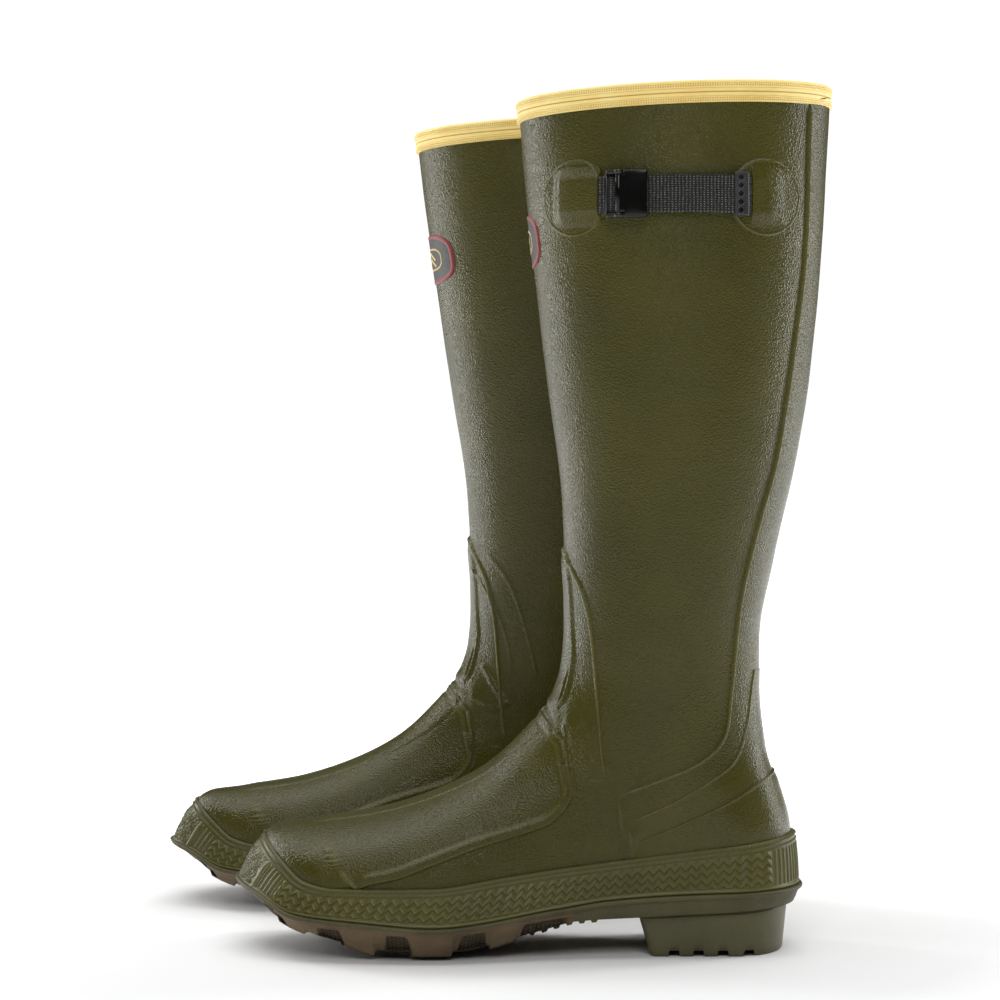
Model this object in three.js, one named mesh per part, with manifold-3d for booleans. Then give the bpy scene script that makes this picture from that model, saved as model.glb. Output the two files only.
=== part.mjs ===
// A pair of knee-high insulated rubber hunting boots, in millimetres, +Z up, toes towards -Y.
// Each boot is laid up as the real one is: a lugged outsole with a heel block, filler, shank, board and
// footbed, then lining, insulation and rubber upper, rubber overlays, a foxing band, a bound collar and
// a side strap with a lever buckle. The left boot stands at +X, the right boot is its mirror image.
import * as THREE from "three";
import { mergeVertices } from "three/addons/utils/BufferGeometryUtils.js";
import Module from "manifold-3d";

const wasm = await Module();
wasm.setup();

// ---- Driving dimensions -------------------------------------------------------------------------
const TOE_Y = -147; // the footprint's ends, inside the foxing
const HEEL_Y = 146;
const BOOT_SPACING = 150; // between the two boots' centre planes
const RIGHT_BOOT_AHEAD = 51.5; // the right boot stands this far forward
const RIGHT_SHAFT_LEAN = -7.6; // and its collar leans this far forward of the left one's
const GAP = 0.3; // between pieces that touch
const RUBBER = 2.4; // upper rubber
const INSULATION = 3.5;
const LINING = 1.0;
const OVERLAY = 0.8; // each rubber overlay
const FOXING = 2.6; // foxing band at its top edge
const FOXING_FLARE = 0.6; // and this much thicker at its foot
const TOE_GUARD_END = -118; // the foxing's second layer covers the toe up to here
const GUARD_DROP = 0.12; // share of the band's height left bare above it
const FLANGE = 5.2; // how far the outsole stands out past the upper
const BINDING_OUT = 1.7; // collar binding, outside the rubber
const BINDING_IN = 1.2; // and inside the lining
const BINDING_TOP = 2; // it stands this far over the rubber's top edge
const SECTION_SIDES = 16; // facets round each section of the upper
const STRAP_Z = 396; // height of the strap's middle
const WEB_WIDTH = 19; // strap webbing
const WEB = 1.1; // webbing thickness
const CUT = 200; // reach of a cutting prism, past any part of a boot's foot or width
const ABOVE_SOLE = 60; // top of solids that are later cut to the sole

// Side view of the upper's outside, as [y, z]: toe, instep, shin and collar, then heel, ankle and calf.
const FRONT = [
  [-140, 36], [-135, 60], [-128, 64.3], [-112, 66], [-76, 71.2], [-37.6, 84.2], [-15.3, 97], [3, 114],
  [13, 126], [19.5, 137.5], [23, 149], [25, 173], [23.4, 232], [15, 303], [4.4, 397], [-0.3, 450],
];
const BACK = [
  [145, 36], [144.8, 62], [138.6, 86], [131.6, 107], [128, 140], [128, 163], [135.2, 204],
  [146.8, 257], [154, 300], [160.4, 364], [166, 457],
];
// Half widths: of the leg by height, and of the foot by distance along it on each side.
const LEG_HALF = [
  [36, 36], [90, 36.5], [130, 38.5], [170, 43], [230, 49], [300, 55.5], [380, 61], [457, 64],
];
const FOOT_LATERAL = [
  [-147, 27], [-120, 40], [-100, 46.5], [-75, 50.5], [-45, 52], [-15, 47.5], [15, 41], [45, 37.5],
  [80, 36], [145, 36],
];
const FOOT_MEDIAL = [
  [-147, 29], [-120, 40], [-100, 46.5], [-75, 49], [-50, 48.5], [-20, 42], [10, 35.5], [40, 32.5],
  [70, 32.5], [100, 34], [145, 35],
];
const RIDGE_X = [[-140, -10], [-90, -9], [-45, -6], [0, -3], [40, 0], [145, 0]]; // crest of the foot
// Heights along the foot: the foxing's top edge, the outsole's top, its underside and its tread.
const FOXING_TOP = [
  [-136, 60], [-123, 49], [-111, 40.8], [-95, 38], [-45, 38.6], [-8, 43.5], [21, 47], [47, 50.2],
  [95, 56.2], [145, 62],
];
const SOLE_TOP = [
  [-150, 37], [-138, 33], [-117, 24], [-83, 21], [-46, 18.4], [21, 26.7], [47, 30.5], [95, 33.5],
  [153, 35],
];
const SOLE_UNDER = [
  [-150, 35], [-138, 29], [-115, 16.5], [-75, 7.5], [-45, 6], [-15, 8.5], [10, 15], [30, 20],
  [66, 21.5], [153, 26],
];
const TREAD = [
  [-150, 34], [-138, 26], [-128, 17], [-110, 10.5], [-92, 5.5], [-72, 0], [-30, 0], [-10, 5],
  [9, 11.5], [24, 18],
];
// Each section of the upper joins a height on the front profile to one on the back profile.
const BACK_OF_FRONT = [
  [60, 62], [65, 65], [70, 70], [79, 77], [95, 88], [114, 101], [134, 116], [158, 140], [200, 190],
  [260, 256], [340, 342], [434, 441], [448, 455],
];
const SAG = [[60, 1], [65, 0.8], [70, 0.62], [79, 0.42], [95, 0.22], [114, 0.08], [134, 0], [450, 0]];
const FOOT_ROWS = [60, 65, 70, 79, 95, 114, 134];
const LEG_ROWS = [134.5, 158, 200, 260, 340, 439, 448];

// ---- Curves -------------------------------------------------------------------------------------
// A smooth curve through points that never overshoots them (Fritsch-Carlson), flat past its ends.
function curve(points, from = 0, to = 1) {
  const x = points.map((p) => p[from]);
  const y = points.map((p) => p[to]);
  const slope = x.slice(1).map((v, i) => (y[i + 1] - y[i]) / (v - x[i]));
  const tangent = x.map((_, i) => {
    const a = slope[Math.max(i - 1, 0)];
    const b = slope[Math.min(i, slope.length - 1)];
    return a * b <= 0 ? 0 : (2 * a * b) / (a + b);
  });
  return (at) => {
    if (at <= x[0]) return y[0];
    if (at >= x.at(-1)) return y.at(-1);
    const i = x.findIndex((v) => v > at) - 1;
    const h = x[i + 1] - x[i];
    const t = (at - x[i]) / h;
    return y[i] * (1 + 2 * t) * (1 - t) ** 2 + y[i + 1] * t * t * (3 - 2 * t)
      + h * (tangent[i] * t * (1 - t) ** 2 - tangent[i + 1] * t * t * (1 - t));
  };
}

const frontY = curve(FRONT, 1, 0);
const backY = curve(BACK, 1, 0);
const legHalf = curve(LEG_HALF);
const footLateral = curve(FOOT_LATERAL);
const footMedial = curve(FOOT_MEDIAL);
const ridgeX = curve(RIDGE_X);
const foxingTop = curve(FOXING_TOP);
const soleTop = curve(SOLE_TOP);
const soleUnder = curve(SOLE_UNDER);
const tread = curve(TREAD);
const backOfFront = curve(BACK_OF_FRONT);
const sag = curve(SAG);

const clamp = (v, low, high) => Math.min(Math.max(v, low), high);
const smoothstep = (v) => {
  const t = clamp(v, 0, 1);
  return t * t * (3 - 2 * t);
};
// How full a section is at a distance in from its end: a quarter of a superellipse.
const rounding = (distance, radius, power = 2) =>
  (1 - (1 - clamp(distance / radius, 0, 1)) ** power) ** (1 / power);

// Height of the foot's crest at y, found on the front profile. Behind the shin it rises steeply on.
const SHIN_Z = 173;
const CREST_SLOPE = 5;
function crest(y) {
  if (y >= frontY(SHIN_Z)) return SHIN_Z + CREST_SLOPE * (y - frontY(SHIN_Z));
  let low = FRONT[0][1];
  let high = SHIN_Z;
  while (high - low > 1e-6) {
    const middle = (low + high) / 2;
    if (frontY(middle) < y) low = middle;
    else high = middle;
  }
  return (low + high) / 2;
}

// Half width of the upper at a point of the side view, on the lateral (side 1) or medial (side -1) side.
// The foot's sections pass into the leg's as the bend about a point ahead of the shin goes round.
const TOE_ROUND = 38; // radii of the plan's round ends
const HEEL_ROUND = 38;
const SHIN_ROUND = [62, 87]; // of the leg's front, low down and high up
const LEG_FROM = 60; // the leg's section is fully rounded between these heights
const LEG_TO = 170;
const PLAN_POWER = 2.1;
const CROWN_POWER = 2.3;
const BEND = { y: -40, z: 165, from: 10, to: 80 };
function halfWidth(y, z, side) {
  const floor = foxingTop(y);
  const rise = clamp((z - floor) / (crest(y) - floor), 0, 1);
  const plan = side > 0 ? footLateral(y) - ridgeX(y) : footMedial(y) + ridgeX(y);
  const foot = plan * Math.sqrt(1 - rise ** CROWN_POWER)
    * rounding(y - frontY(Math.min(z, FRONT[1][1])), TOE_ROUND, PLAN_POWER)
    * rounding(backY(z) - y, HEEL_ROUND, PLAN_POWER);
  const depth = backY(z) - frontY(z);
  const high = smoothstep((z - LEG_FROM) / (LEG_TO - LEG_FROM));
  const shin = SHIN_ROUND[0] + (SHIN_ROUND[1] - SHIN_ROUND[0]) * high;
  const leg = legHalf(z) * rounding(y - frontY(z), Math.min(depth / 2, shin))
    * rounding(backY(z) - y, HEEL_ROUND + (depth / 2 - HEEL_ROUND) * high);
  const bend = THREE.MathUtils.radToDeg(Math.atan2(y - BEND.y, BEND.z - z));
  const mix = smoothstep((bend - BEND.from) / (BEND.to - BEND.from));
  return foot * (1 - mix) + leg * mix;
}

// How far a leaning shaft stands off at a height.
const LEAN_FROM = 150;
const LEAN_RISE = 300;
const leanAt = (z, lean) => lean * clamp((z - LEAN_FROM) / LEAN_RISE, 0, 1.1) ** 1.6;

// A point of the upper's outside: angle runs round the section (0 at the front, pi at the back), and
// height is where the section meets the front profile. Sections near the foot dip along its sides.
const DIP_LENGTH = 40; // the dip comes on over this distance from the front
const FOOT_LINE_RISE = 2 / 280; // slope of the straight line the foxing's edge dips below
const RIDGE_FROM = 80; // the foot's crest comes back to the middle between these heights
const RIDGE_TO = 140;
function upperPoint(angle, height, lean) {
  const along = (1 - Math.cos(angle)) / 2;
  const side = Math.sin(angle) >= 0 ? 1 : -1;
  const backZ = backOfFront(height);
  const weight = sag(height);
  const y = frontY(height) * (1 - along) + backY(backZ) * along;
  const blend = 1 - Math.exp(-(y - frontY(height)) / (DIP_LENGTH * (1 - weight) + 0.001));
  const level = foxingTop(y) - FOXING_TOP[0][1] - FOOT_LINE_RISE * (y - FRONT[1][0]);
  const z = height * (1 - along) + backZ * along + weight * blend * level;
  const atEnd = Math.abs(Math.sin(angle)) < 1e-9;
  const crestX = ridgeX(y) * (1 - smoothstep((height - RIDGE_FROM) / (RIDGE_TO - RIDGE_FROM)));
  const x = crestX + (atEnd ? 0 : side * halfWidth(y, z, side));
  return new THREE.Vector3(x, y + leanAt(z, lean), z);
}

// The same point moved out of the surface by offset.
function upperOffset(angle, height, offset, lean) {
  const turn = 0.02;
  const step = 0.4;
  const low = Math.max(height - step, FOOT_ROWS[0]);
  const high = Math.min(height + step, LEG_ROWS.at(-1));
  const round = upperPoint(angle + turn, height, lean).sub(upperPoint(angle - turn, height, lean));
  const rise = upperPoint(angle, high, lean).sub(upperPoint(angle, low, lean));
  return upperPoint(angle, height, lean).addScaledVector(round.cross(rise).normalize(), offset);
}

// A point of the footprint's outline, seen from above, moved out by offset.
function footprintPoint(angle) {
  const along = (1 - Math.cos(angle)) / 2;
  const side = Math.sin(angle) >= 0 ? 1 : -1;
  const y = TOE_Y * (1 - along) + HEEL_Y * along;
  const middle = ridgeX(y);
  const half = (side > 0 ? footLateral(y) - middle : footMedial(y) + middle)
    * rounding(y - TOE_Y, TOE_ROUND, PLAN_POWER) * rounding(HEEL_Y - y, HEEL_ROUND, PLAN_POWER);
  return new THREE.Vector3(middle + side * half, y, 0);
}
function outlinePoint(angle, offset) {
  const turn = 0.02;
  const round = footprintPoint(angle + turn).sub(footprintPoint(angle - turn));
  const out = new THREE.Vector3(round.y, -round.x, 0).normalize();
  return footprintPoint(angle).addScaledVector(out, offset);
}

// ---- Solids -------------------------------------------------------------------------------------
const toManifold = (geometry) => {
  const bare = geometry.clone();
  for (const name of ["normal", "uv"]) bare.deleteAttribute(name);
  const merged = mergeVertices(bare, 1e-4);
  const list = merged.index.array;
  const index = [];
  for (let i = 0; i < list.length; i += 3) {
    const [p, q, r] = list.slice(i, i + 3);
    if (p !== q && q !== r && r !== p) index.push(p, q, r);
  }
  return new wasm.Manifold(new wasm.Mesh({
    numProp: 3, vertProperties: merged.attributes.position.array, triVerts: new Uint32Array(index),
  }));
};
const toGeometry = (solid) => {
  const parts = solid.decompose().sort((a, b) => b.volume() - a.volume());
  const mesh = parts[0].getMesh();
  return new THREE.BufferGeometry()
    .setAttribute("position", new THREE.BufferAttribute(mesh.vertProperties, 3))
    .setIndex(new THREE.BufferAttribute(mesh.triVerts, 1));
};
const cutAway = (geometry, ...cutters) =>
  toGeometry(cutters.reduce((solid, cutter) => solid.subtract(toManifold(cutter)), toManifold(geometry)));
const keepInside = (geometry, cutter) => toGeometry(toManifold(geometry).intersect(toManifold(cutter)));
const join = (...geometries) => toGeometry(geometries.map(toManifold).reduce((a, b) => a.add(b)));

// A closed surface built up from quads of points.
class Facets {
  points = [];
  quad(a, b, c, d) {
    this.points.push(a, b, c, a, c, d);
  }
  geometry() {
    const raw = new THREE.BufferGeometry().setFromPoints(this.points);
    return toGeometry(toManifold(raw));
  }
}

const angleAt = (i) => (2 * Math.PI * i) / SECTION_SIDES;

// Rings of points joined into a tube wall: outer rings run upwards, inner rings close it off. Walls
// facing in and out are split along the same diagonals, so layers laid over one another stay parallel.
function ringsSolid(rings) {
  const facets = new Facets();
  const sides = rings[0].length;
  rings.forEach((ring, r) => {
    const next = rings[(r + 1) % rings.length];
    for (let i = 0; i < sides; i++) {
      const j = (i + 1) % sides;
      if (next[i].z < ring[i].z) facets.quad(ring[j], next[j], next[i], ring[i]);
      else facets.quad(ring[i], ring[j], next[j], next[i]);
    }
  });
  return facets.geometry();
}

// One ring of the upper at a row height, or along the outsole's top edge for the row "sole".
function ring(row, offset, lean) {
  return Array.from({ length: SECTION_SIDES }, (_, i) => {
    if (row !== "sole") return upperOffset(angleAt(i), row, offset, lean);
    const at = outlinePoint(angleAt(i), offset);
    return at.setZ(soleTop(at.y));
  });
}

// The wall between two offsets of the upper, over a run of rows.
function upperShell(rows, inner, outer, lean) {
  const out = rows.map((row) => ring(row, outer, lean));
  const back = rows.map((row) => ring(row, inner, lean)).reverse();
  return ringsSolid([...out, ...back]);
}

// A slab under the foot: outline offset from the upper's, between two heights that vary along it.
function slab(offset, bottom, top, { across = 1, step = 1, to = SECTION_SIDES / 2 } = {}) {
  const facets = new Facets();
  const rows = [];
  for (let i = 0; i <= to; i += step) {
    const right = outlinePoint(angleAt(i), offset);
    const left = outlinePoint(-angleAt(i), offset);
    rows.push(Array.from({ length: across + 1 }, (_, k) => left.clone().lerp(right, k / across)));
  }
  const lift = (p, height) => p.clone().setZ(height(p.y));
  for (let i = 0; i + 1 < rows.length; i++) {
    for (let k = 0; k < across; k++) {
      const [a, b, c, d] = [rows[i][k], rows[i][k + 1], rows[i + 1][k + 1], rows[i + 1][k]];
      facets.quad(lift(a, top), lift(b, top), lift(c, top), lift(d, top));
      facets.quad(lift(d, bottom), lift(c, bottom), lift(b, bottom), lift(a, bottom));
    }
    const [a, b, c, d] = [rows[i][0], rows[i + 1][0], rows[i][across], rows[i + 1][across]];
    facets.quad(lift(a, bottom), lift(a, top), lift(b, top), lift(b, bottom));
    facets.quad(lift(d, bottom), lift(d, top), lift(c, top), lift(c, bottom));
  }
  for (const [row, flip] of [[rows[0], 1], [rows.at(-1), -1]]) {
    for (let k = 0; k < across; k++) {
      const [a, b] = flip > 0 ? [row[k], row[k + 1]] : [row[k + 1], row[k]];
      facets.quad(lift(a, bottom), lift(b, bottom), lift(b, top), lift(a, top));
    }
  }
  return facets.geometry();
}

// A prism through the boot whose section is an outline in the side view, [y, z], between two x limits.
function sidePrism(outline, fromX = -CUT, toX = CUT) {
  const shape = new THREE.Shape(outline.map(([y, z]) => new THREE.Vector2(y, z)));
  const prism = new THREE.ExtrudeGeometry(shape, { depth: toX - fromX, bevelEnabled: false });
  return prism.applyMatrix4(new THREE.Matrix4().set(0, 0, 1, fromX, 1, 0, 0, 0, 0, 1, 0, 0, 0, 0, 0, 1));
}
const box = (low, high) => {
  const size = high.map((v, i) => v - low[i]);
  return new THREE.BoxGeometry(...size).translate(...low.map((v, i) => v + size[i] / 2));
};
// A plan outline, [x, y], raised between two heights.
const planPrism = (shape, low, high, segments = 6) =>
  new THREE.ExtrudeGeometry(shape, { depth: high - low, bevelEnabled: false, curveSegments: segments })
    .translate(0, 0, low);
// The mirror image across the boot's centre plane, with its triangles turned to face outwards again.
function mirror(geometry) {
  const shape = mergeVertices(geometry.clone().scale(-1, 1, 1));
  const list = shape.index.array;
  for (let i = 0; i < list.length; i += 3) [list[i + 1], list[i + 2]] = [list[i + 2], list[i + 1]];
  return shape;
}

// ---- Outlines of the overlays in the side view, [y, z] -------------------------------------------
// Each follows the overlay's visible edge, then closes well off the boot.
const BEHIND = 190;
const BELOW = 20;
const BACK_STAY = [
  [150.6, 437], [147.3, 355], [135, 268], [123.8, 225], [115, 186], [110, 138], [106, 114],
  [92.6, 101.5], [70, 92], [50.5, 85], [57, BELOW], [BEHIND, BELOW], [BEHIND, 437],
];
const COUNTER = [
  [134, 160], [124, 152], [118.6, 120.5], [112.5, 103], [101, 93.7], [78.6, 80.7], [56, 71],
  [60, BELOW], [BEHIND, BELOW], [BEHIND, 160],
];
const HEEL_CUP = [
  [140, 97], [128, 91.5], [108.6, 81], [82.5, 69.3], [57.7, 59], [62, BELOW], [BEHIND, BELOW], [BEHIND, 97],
];
const VAMP_BACK = 28;
const VAMP = [
  [-85, 38], [-63, 43], [-20, 58.6], [18, 72], [28, 86], [24, 128], [30, 150], [-40, 150], [-160, 120],
  [-160, 63], [-118, 52],
];
const ANKLE = [
  [12, 222], [23, 215], [28, 204], [34.5, 189], [39, 168], [41.6, 138], [43.6, 108], [46, 96],
  [-30, 96], [-30, 222],
];

// ---- The pieces of one boot ----------------------------------------------------------------------
const colours = {
  rubber: [0x4d4928, 0.42], foxing: [0x504d33, 0.5], outsole: [0x554b38, 0.6], heel: [0x4a4836, 0.55],
  binding: [0xe3b95c, 0.6], lining: [0x23261f, 0.95], insulation: [0x8d8f86, 0.95], board: [0x9a8f78, 0.9],
  footbed: [0x2f3128, 0.9], shank: [0x9b9d9f, 0.35], webbing: [0x2f2f2e, 0.85], buckle: [0x0f0f0e, 0.3],
  tip: [0x3a3a3b, 0.5], pin: [0xa9abad, 0.3], badge: [0x8c2d33, 0.5], filler: [0x7b5c3d, 0.95],
};
const materials = Object.fromEntries(Object.entries(colours).map(([name, [color, roughness]]) => [
  name, new THREE.MeshStandardMaterial({ color, roughness, metalness: /shank|pin/.test(name) ? 1 : 0 }),
]));

// Sole assembly: a plate with lugs, a grooved heel block and what lies between them and the foot.
const HEEL_FRONT = 66.3;
const HEEL_BACK = 141.9;
const HEEL_HALF = 33;
const HEEL_CORNER = 2;
const HEEL_GROOVES = [81, 93.8, 106.6, 120.3];
const GROOVE_WIDTH = 5.6;
const GROOVE_DEPTH = 3.2;
const LUGS = [ // rows of lugs from the toe: middle and length
  [-117, 21], [-83, 24], [-45, 28], [-8, 20],
];
const LUG_INNER = 16; // side lugs reach from here out to the rim
const LUG_OUTER = 60;
const LUG_SLANT = 5;
const LUG_TAPER = 2;
const CHEVRON_HALF = 11;
const CHEVRON_POINT = 5;
const CHEVRON_AHEAD = 8;
const TREAD_INSET = 8; // lugs stand this far inside the rim
const TREAD_ROWS = 5; // they run back this many rows of the sole's outline

// Lugs seen from above: a slanted bar on each side of every row, and a chevron ahead of it.
function lugShapes() {
  const lugs = [];
  LUGS.forEach(([y, length]) => {
    const half = length / 2;
    for (const side of [1, -1]) {
      lugs.push([
        [side * LUG_INNER, y - half],
        [side * LUG_OUTER, y - half + LUG_SLANT],
        [side * LUG_OUTER, y + half - LUG_TAPER],
        [side * LUG_INNER, y + half - LUG_SLANT - LUG_TAPER],
      ]);
    }
    const front = y - half - CHEVRON_AHEAD;
    const back = y - half + LUG_TAPER;
    lugs.push([
      [-CHEVRON_HALF, front], [0, front - CHEVRON_POINT], [CHEVRON_HALF, front],
      [CHEVRON_HALF, back], [0, back - CHEVRON_POINT], [-CHEVRON_HALF, back],
    ]);
  });
  return lugs.map((points) => {
    const plan = points.map(([x, y]) => new THREE.Vector2(x, y));
    return new THREE.Shape(THREE.ShapeUtils.area(plan) < 0 ? plan.reverse() : plan);
  });
}

function makeOutsole() {
  const plate = slab(FLANGE, soleUnder, soleTop);
  const middle = (y) => (soleUnder(y) + soleTop(y)) / 2;
  const zone = slab(FLANGE - TREAD_INSET, tread, middle, { across: 2, step: 0.5, to: TREAD_ROWS });
  const lugs = lugShapes().map((shape) => keepInside(planPrism(shape, -1, ABOVE_SOLE), zone));
  return join(plate, ...lugs);
}

function makeHeelBlock() {
  const radius = HEEL_HALF + 1;
  const shape = new THREE.Shape();
  shape.moveTo(-HEEL_HALF + HEEL_CORNER, HEEL_FRONT);
  shape.lineTo(HEEL_HALF - HEEL_CORNER, HEEL_FRONT);
  shape.lineTo(HEEL_HALF, HEEL_FRONT + HEEL_CORNER);
  shape.lineTo(HEEL_HALF, HEEL_BACK - radius);
  shape.absarc(0, HEEL_BACK - radius, HEEL_HALF, 0, Math.PI, false);
  shape.lineTo(-HEEL_HALF, HEEL_FRONT + HEEL_CORNER);
  shape.closePath();
  const block = planPrism(shape, 0, ABOVE_SOLE, 10);
  const sole = slab(FLANGE, (y) => soleUnder(y) - GAP, () => ABOVE_SOLE);
  const grooves = HEEL_GROOVES.map((y) =>
    box([-CUT, y - GROOVE_WIDTH / 2, -1], [CUT, y + GROOVE_WIDTH / 2, GROOVE_DEPTH]));
  return cutAway(block, sole, ...grooves);
}

// The steel shank under the arch, and its place grown by side.
const SHANK = { half: 9, from: -5, to: 88, thick: 1.6 };
const shankZone = (side) =>
  box([-SHANK.half - side, SHANK.from - side, 0], [SHANK.half + side, SHANK.to + side, ABOVE_SOLE]);
const BOARD = { low: 2.2, high: 4.4 }; // heights over the outsole's top
const FOOTBED = { low: 4.7, high: 10.2 };
const above = (height) => (y) => soleTop(y) + height;

// Depths of the layers inside the upper, and the clear space left for the foot.
const INSULATION_OUT = -RUBBER - GAP;
const INSULATION_IN = INSULATION_OUT - INSULATION;
const LINING_OUT = INSULATION_IN - GAP;
const LINING_IN = LINING_OUT - LINING;
const FOOT_CLEAR = LINING_IN - GAP;

// ---- Strap: everything lies on arcs round one upright axis, the centre of the calf's side curve ----
const CALF_CENTRE_Y = 84.4;
const CALF_DEPTH = 80;
const CALF_HALF = legHalf(STRAP_Z);
const CALF_RADIUS = CALF_DEPTH ** 2 / CALF_HALF;
const AXIS_X = CALF_HALF - CALF_RADIUS;
const WEB_LOW = CALF_RADIUS + 0.9; // underside of the webbing
const TAIL_LOW = CALF_RADIUS + 3.4; // underside of its free end, which lies over it
const WEB_HALF = WEB_WIDTH / 2;
const WEB_FROM = 49.3; // the webbing folds back round the buckle's bar here
const WEB_TO = 126;
const FOLD_INNER = 50.4;
const TAIL_FROM = 55;
const TAIL_TO = 112.3;
const LOOP_FROM = 26;
const LOOP_TO = 49;
const LOOP_HEIGHT = 3.9;
const LOOP_END = 1.5; // the loop's solid end, inside the front patch
const FRONT_BAR = { y: 46.8, height: 2.85, radius: 0.8, sides: 8 };
const WEB_BAR = { y: 52.9, height: 2.7, radius: 0.5, sides: 6 };
const PIN = { y: 50.6, height: 6.6, radius: 0.75, sides: 12, play: 0.08 };
const RAIL = 2.2; // width of the buckle frame's side rails
const RAIL_IN = WEB_HALF + 0.5;
const RAIL_OUT = RAIL_IN + RAIL;
const RAIL_FROM = 44.2;
const RAIL_TO = 65.5;
const EAR_RADIUS = 2.3;
const BAR_INSET = 0.4;
const LEVER = { to: 64.9, low: 5.3, high: 6.9, half: WEB_HALF + 0.2, barrel: 1.75 };
const TIP = { from: 109.8, to: 117.6, thick: 2.1, half: WEB_HALF + 1.8 };
const TIP_HOLES = { count: 5, y: 114.1, spacing: 4.2, radius: 1.2, sides: 8 };

const angleOf = (y, radius) => Math.asin((y - CALF_CENTRE_Y) / radius);
// A strip of the calf's arc between two radii and two places along the boot.
function arcBand(low, high, fromY, toY, halfHeight, segments = 8) {
  const shape = new THREE.Shape();
  const start = angleOf(fromY, high);
  const end = angleOf(toY, high);
  shape.absarc(AXIS_X, CALF_CENTRE_Y, high, start, end, false);
  shape.absarc(AXIS_X, CALF_CENTRE_Y, low, end, start, true);
  shape.closePath();
  return planPrism(shape, STRAP_Z - halfHeight, STRAP_Z + halfHeight, segments);
}

// An upright bar over the calf, from low to high either side of the strap's middle.
function barAt({ y, height, sides }, radius, low, high) {
  const reach = CALF_RADIUS + height;
  return new THREE.CylinderGeometry(radius, radius, high - low, sides)
    .rotateX(Math.PI / 2)
    .translate(AXIS_X + reach * Math.cos(angleOf(y, reach)), y, STRAP_Z + (high + low) / 2);
}
const pinHole = () => barAt(PIN, PIN.radius + PIN.play, -CUT, CUT);

// Webbing from the rear patch, forward to the buckle's bar and up round it.
function makeStrapWeb() {
  const run = arcBand(WEB_LOW, WEB_LOW + WEB, WEB_FROM + 1, WEB_TO, WEB_HALF, 10);
  const fold = arcBand(WEB_LOW, TAIL_LOW + WEB, WEB_FROM, TAIL_FROM - GAP, WEB_HALF, 3);
  const core = arcBand(WEB_LOW + WEB, TAIL_LOW, FOLD_INNER, TAIL_FROM, WEB_HALF + 1, 3);
  return cutAway(join(run, fold), core);
}

// Webbing loop that ties the buckle's front bar to the front patch.
function makeWebLoop() {
  const high = WEB_LOW + LOOP_HEIGHT;
  const body = arcBand(WEB_LOW, high, LOOP_FROM, LOOP_TO, WEB_HALF);
  const eye = arcBand(WEB_LOW + WEB, high - WEB, LOOP_FROM + LOOP_END, LOOP_TO - WEB, WEB_HALF + 1);
  return cutAway(body, eye);
}

function makeBuckleFrame() {
  const rails = [-1, 1].map((side) =>
    arcBand(WEB_LOW, CALF_RADIUS + PIN.height, RAIL_FROM, RAIL_TO, RAIL / 2, 6)
      .translate(0, 0, side * (RAIL_IN + RAIL / 2)));
  const ears = [-RAIL_OUT, RAIL_IN].map((low) => barAt({ ...PIN, sides: 10 }, EAR_RADIUS, low, low + RAIL));
  const bars = [FRONT_BAR, WEB_BAR].map((bar) =>
    barAt(bar, bar.radius, BAR_INSET - RAIL_OUT, RAIL_OUT - BAR_INSET));
  return cutAway(join(...rails, ...ears, ...bars), pinHole());
}

function makeLever() {
  const low = CALF_RADIUS + LEVER.low;
  const plate = arcBand(low, CALF_RADIUS + LEVER.high, PIN.y, LEVER.to, LEVER.half, 6);
  const barrel = barAt({ ...PIN, sides: 14 }, LEVER.barrel, -LEVER.half, LEVER.half);
  return cutAway(join(plate, barrel), pinHole());
}

// Moulded tip on the webbing's free end, with a pocket for it and a row of small round holes.
function makeTip() {
  const low = TAIL_LOW - 0.1;
  const plate = arcBand(low, low + TIP.thick, TIP.from, TIP.to, TIP.half, 4);
  const pocket = arcBand(low - 1, TAIL_LOW + WEB + GAP, TIP.from - 10, TAIL_TO + 0.2, WEB_HALF + GAP, 4);
  const holes = Array.from({ length: TIP_HOLES.count }, (_, i) => {
    const x = AXIS_X + TAIL_LOW * Math.cos(angleOf(TIP_HOLES.y, TAIL_LOW));
    const z = STRAP_Z + (i - (TIP_HOLES.count - 1) / 2) * TIP_HOLES.spacing;
    return new THREE.CylinderGeometry(TIP_HOLES.radius, TIP_HOLES.radius, 30, TIP_HOLES.sides)
      .rotateZ(Math.PI / 2)
      .translate(x, TIP_HOLES.y, z);
  });
  return cutAway(plate, pocket, ...holes);
}

// Rubber patches that hold the webbing's ends: ovals on the calf with a raised pad over the webbing.
const PATCH_HALF_Z = 20;
const PATCH_OUT = 2.4;
const PATCH_DROP = 1; // their middles are this far below the strap's
const PATCH_SIDES = 14;
const PATCHES = {
  front_patch: { y: 27.5, half: 15, pad: [22, 41], high: 6.5, slot: [25, 60], slotHigh: 5.2 },
  rear_patch: { y: 126, half: 18, pad: [121, 132], high: 3.0, slot: [90, 127], slotHigh: 2.3 },
};
const PATCH_INNER_X = 14; // they lie on the lateral side only
// Badge on the front of the shaft, wrapped towards the medial side.
const BADGE = { from: -34, to: 24, low: 360, high: 391, back: 60 };

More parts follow.
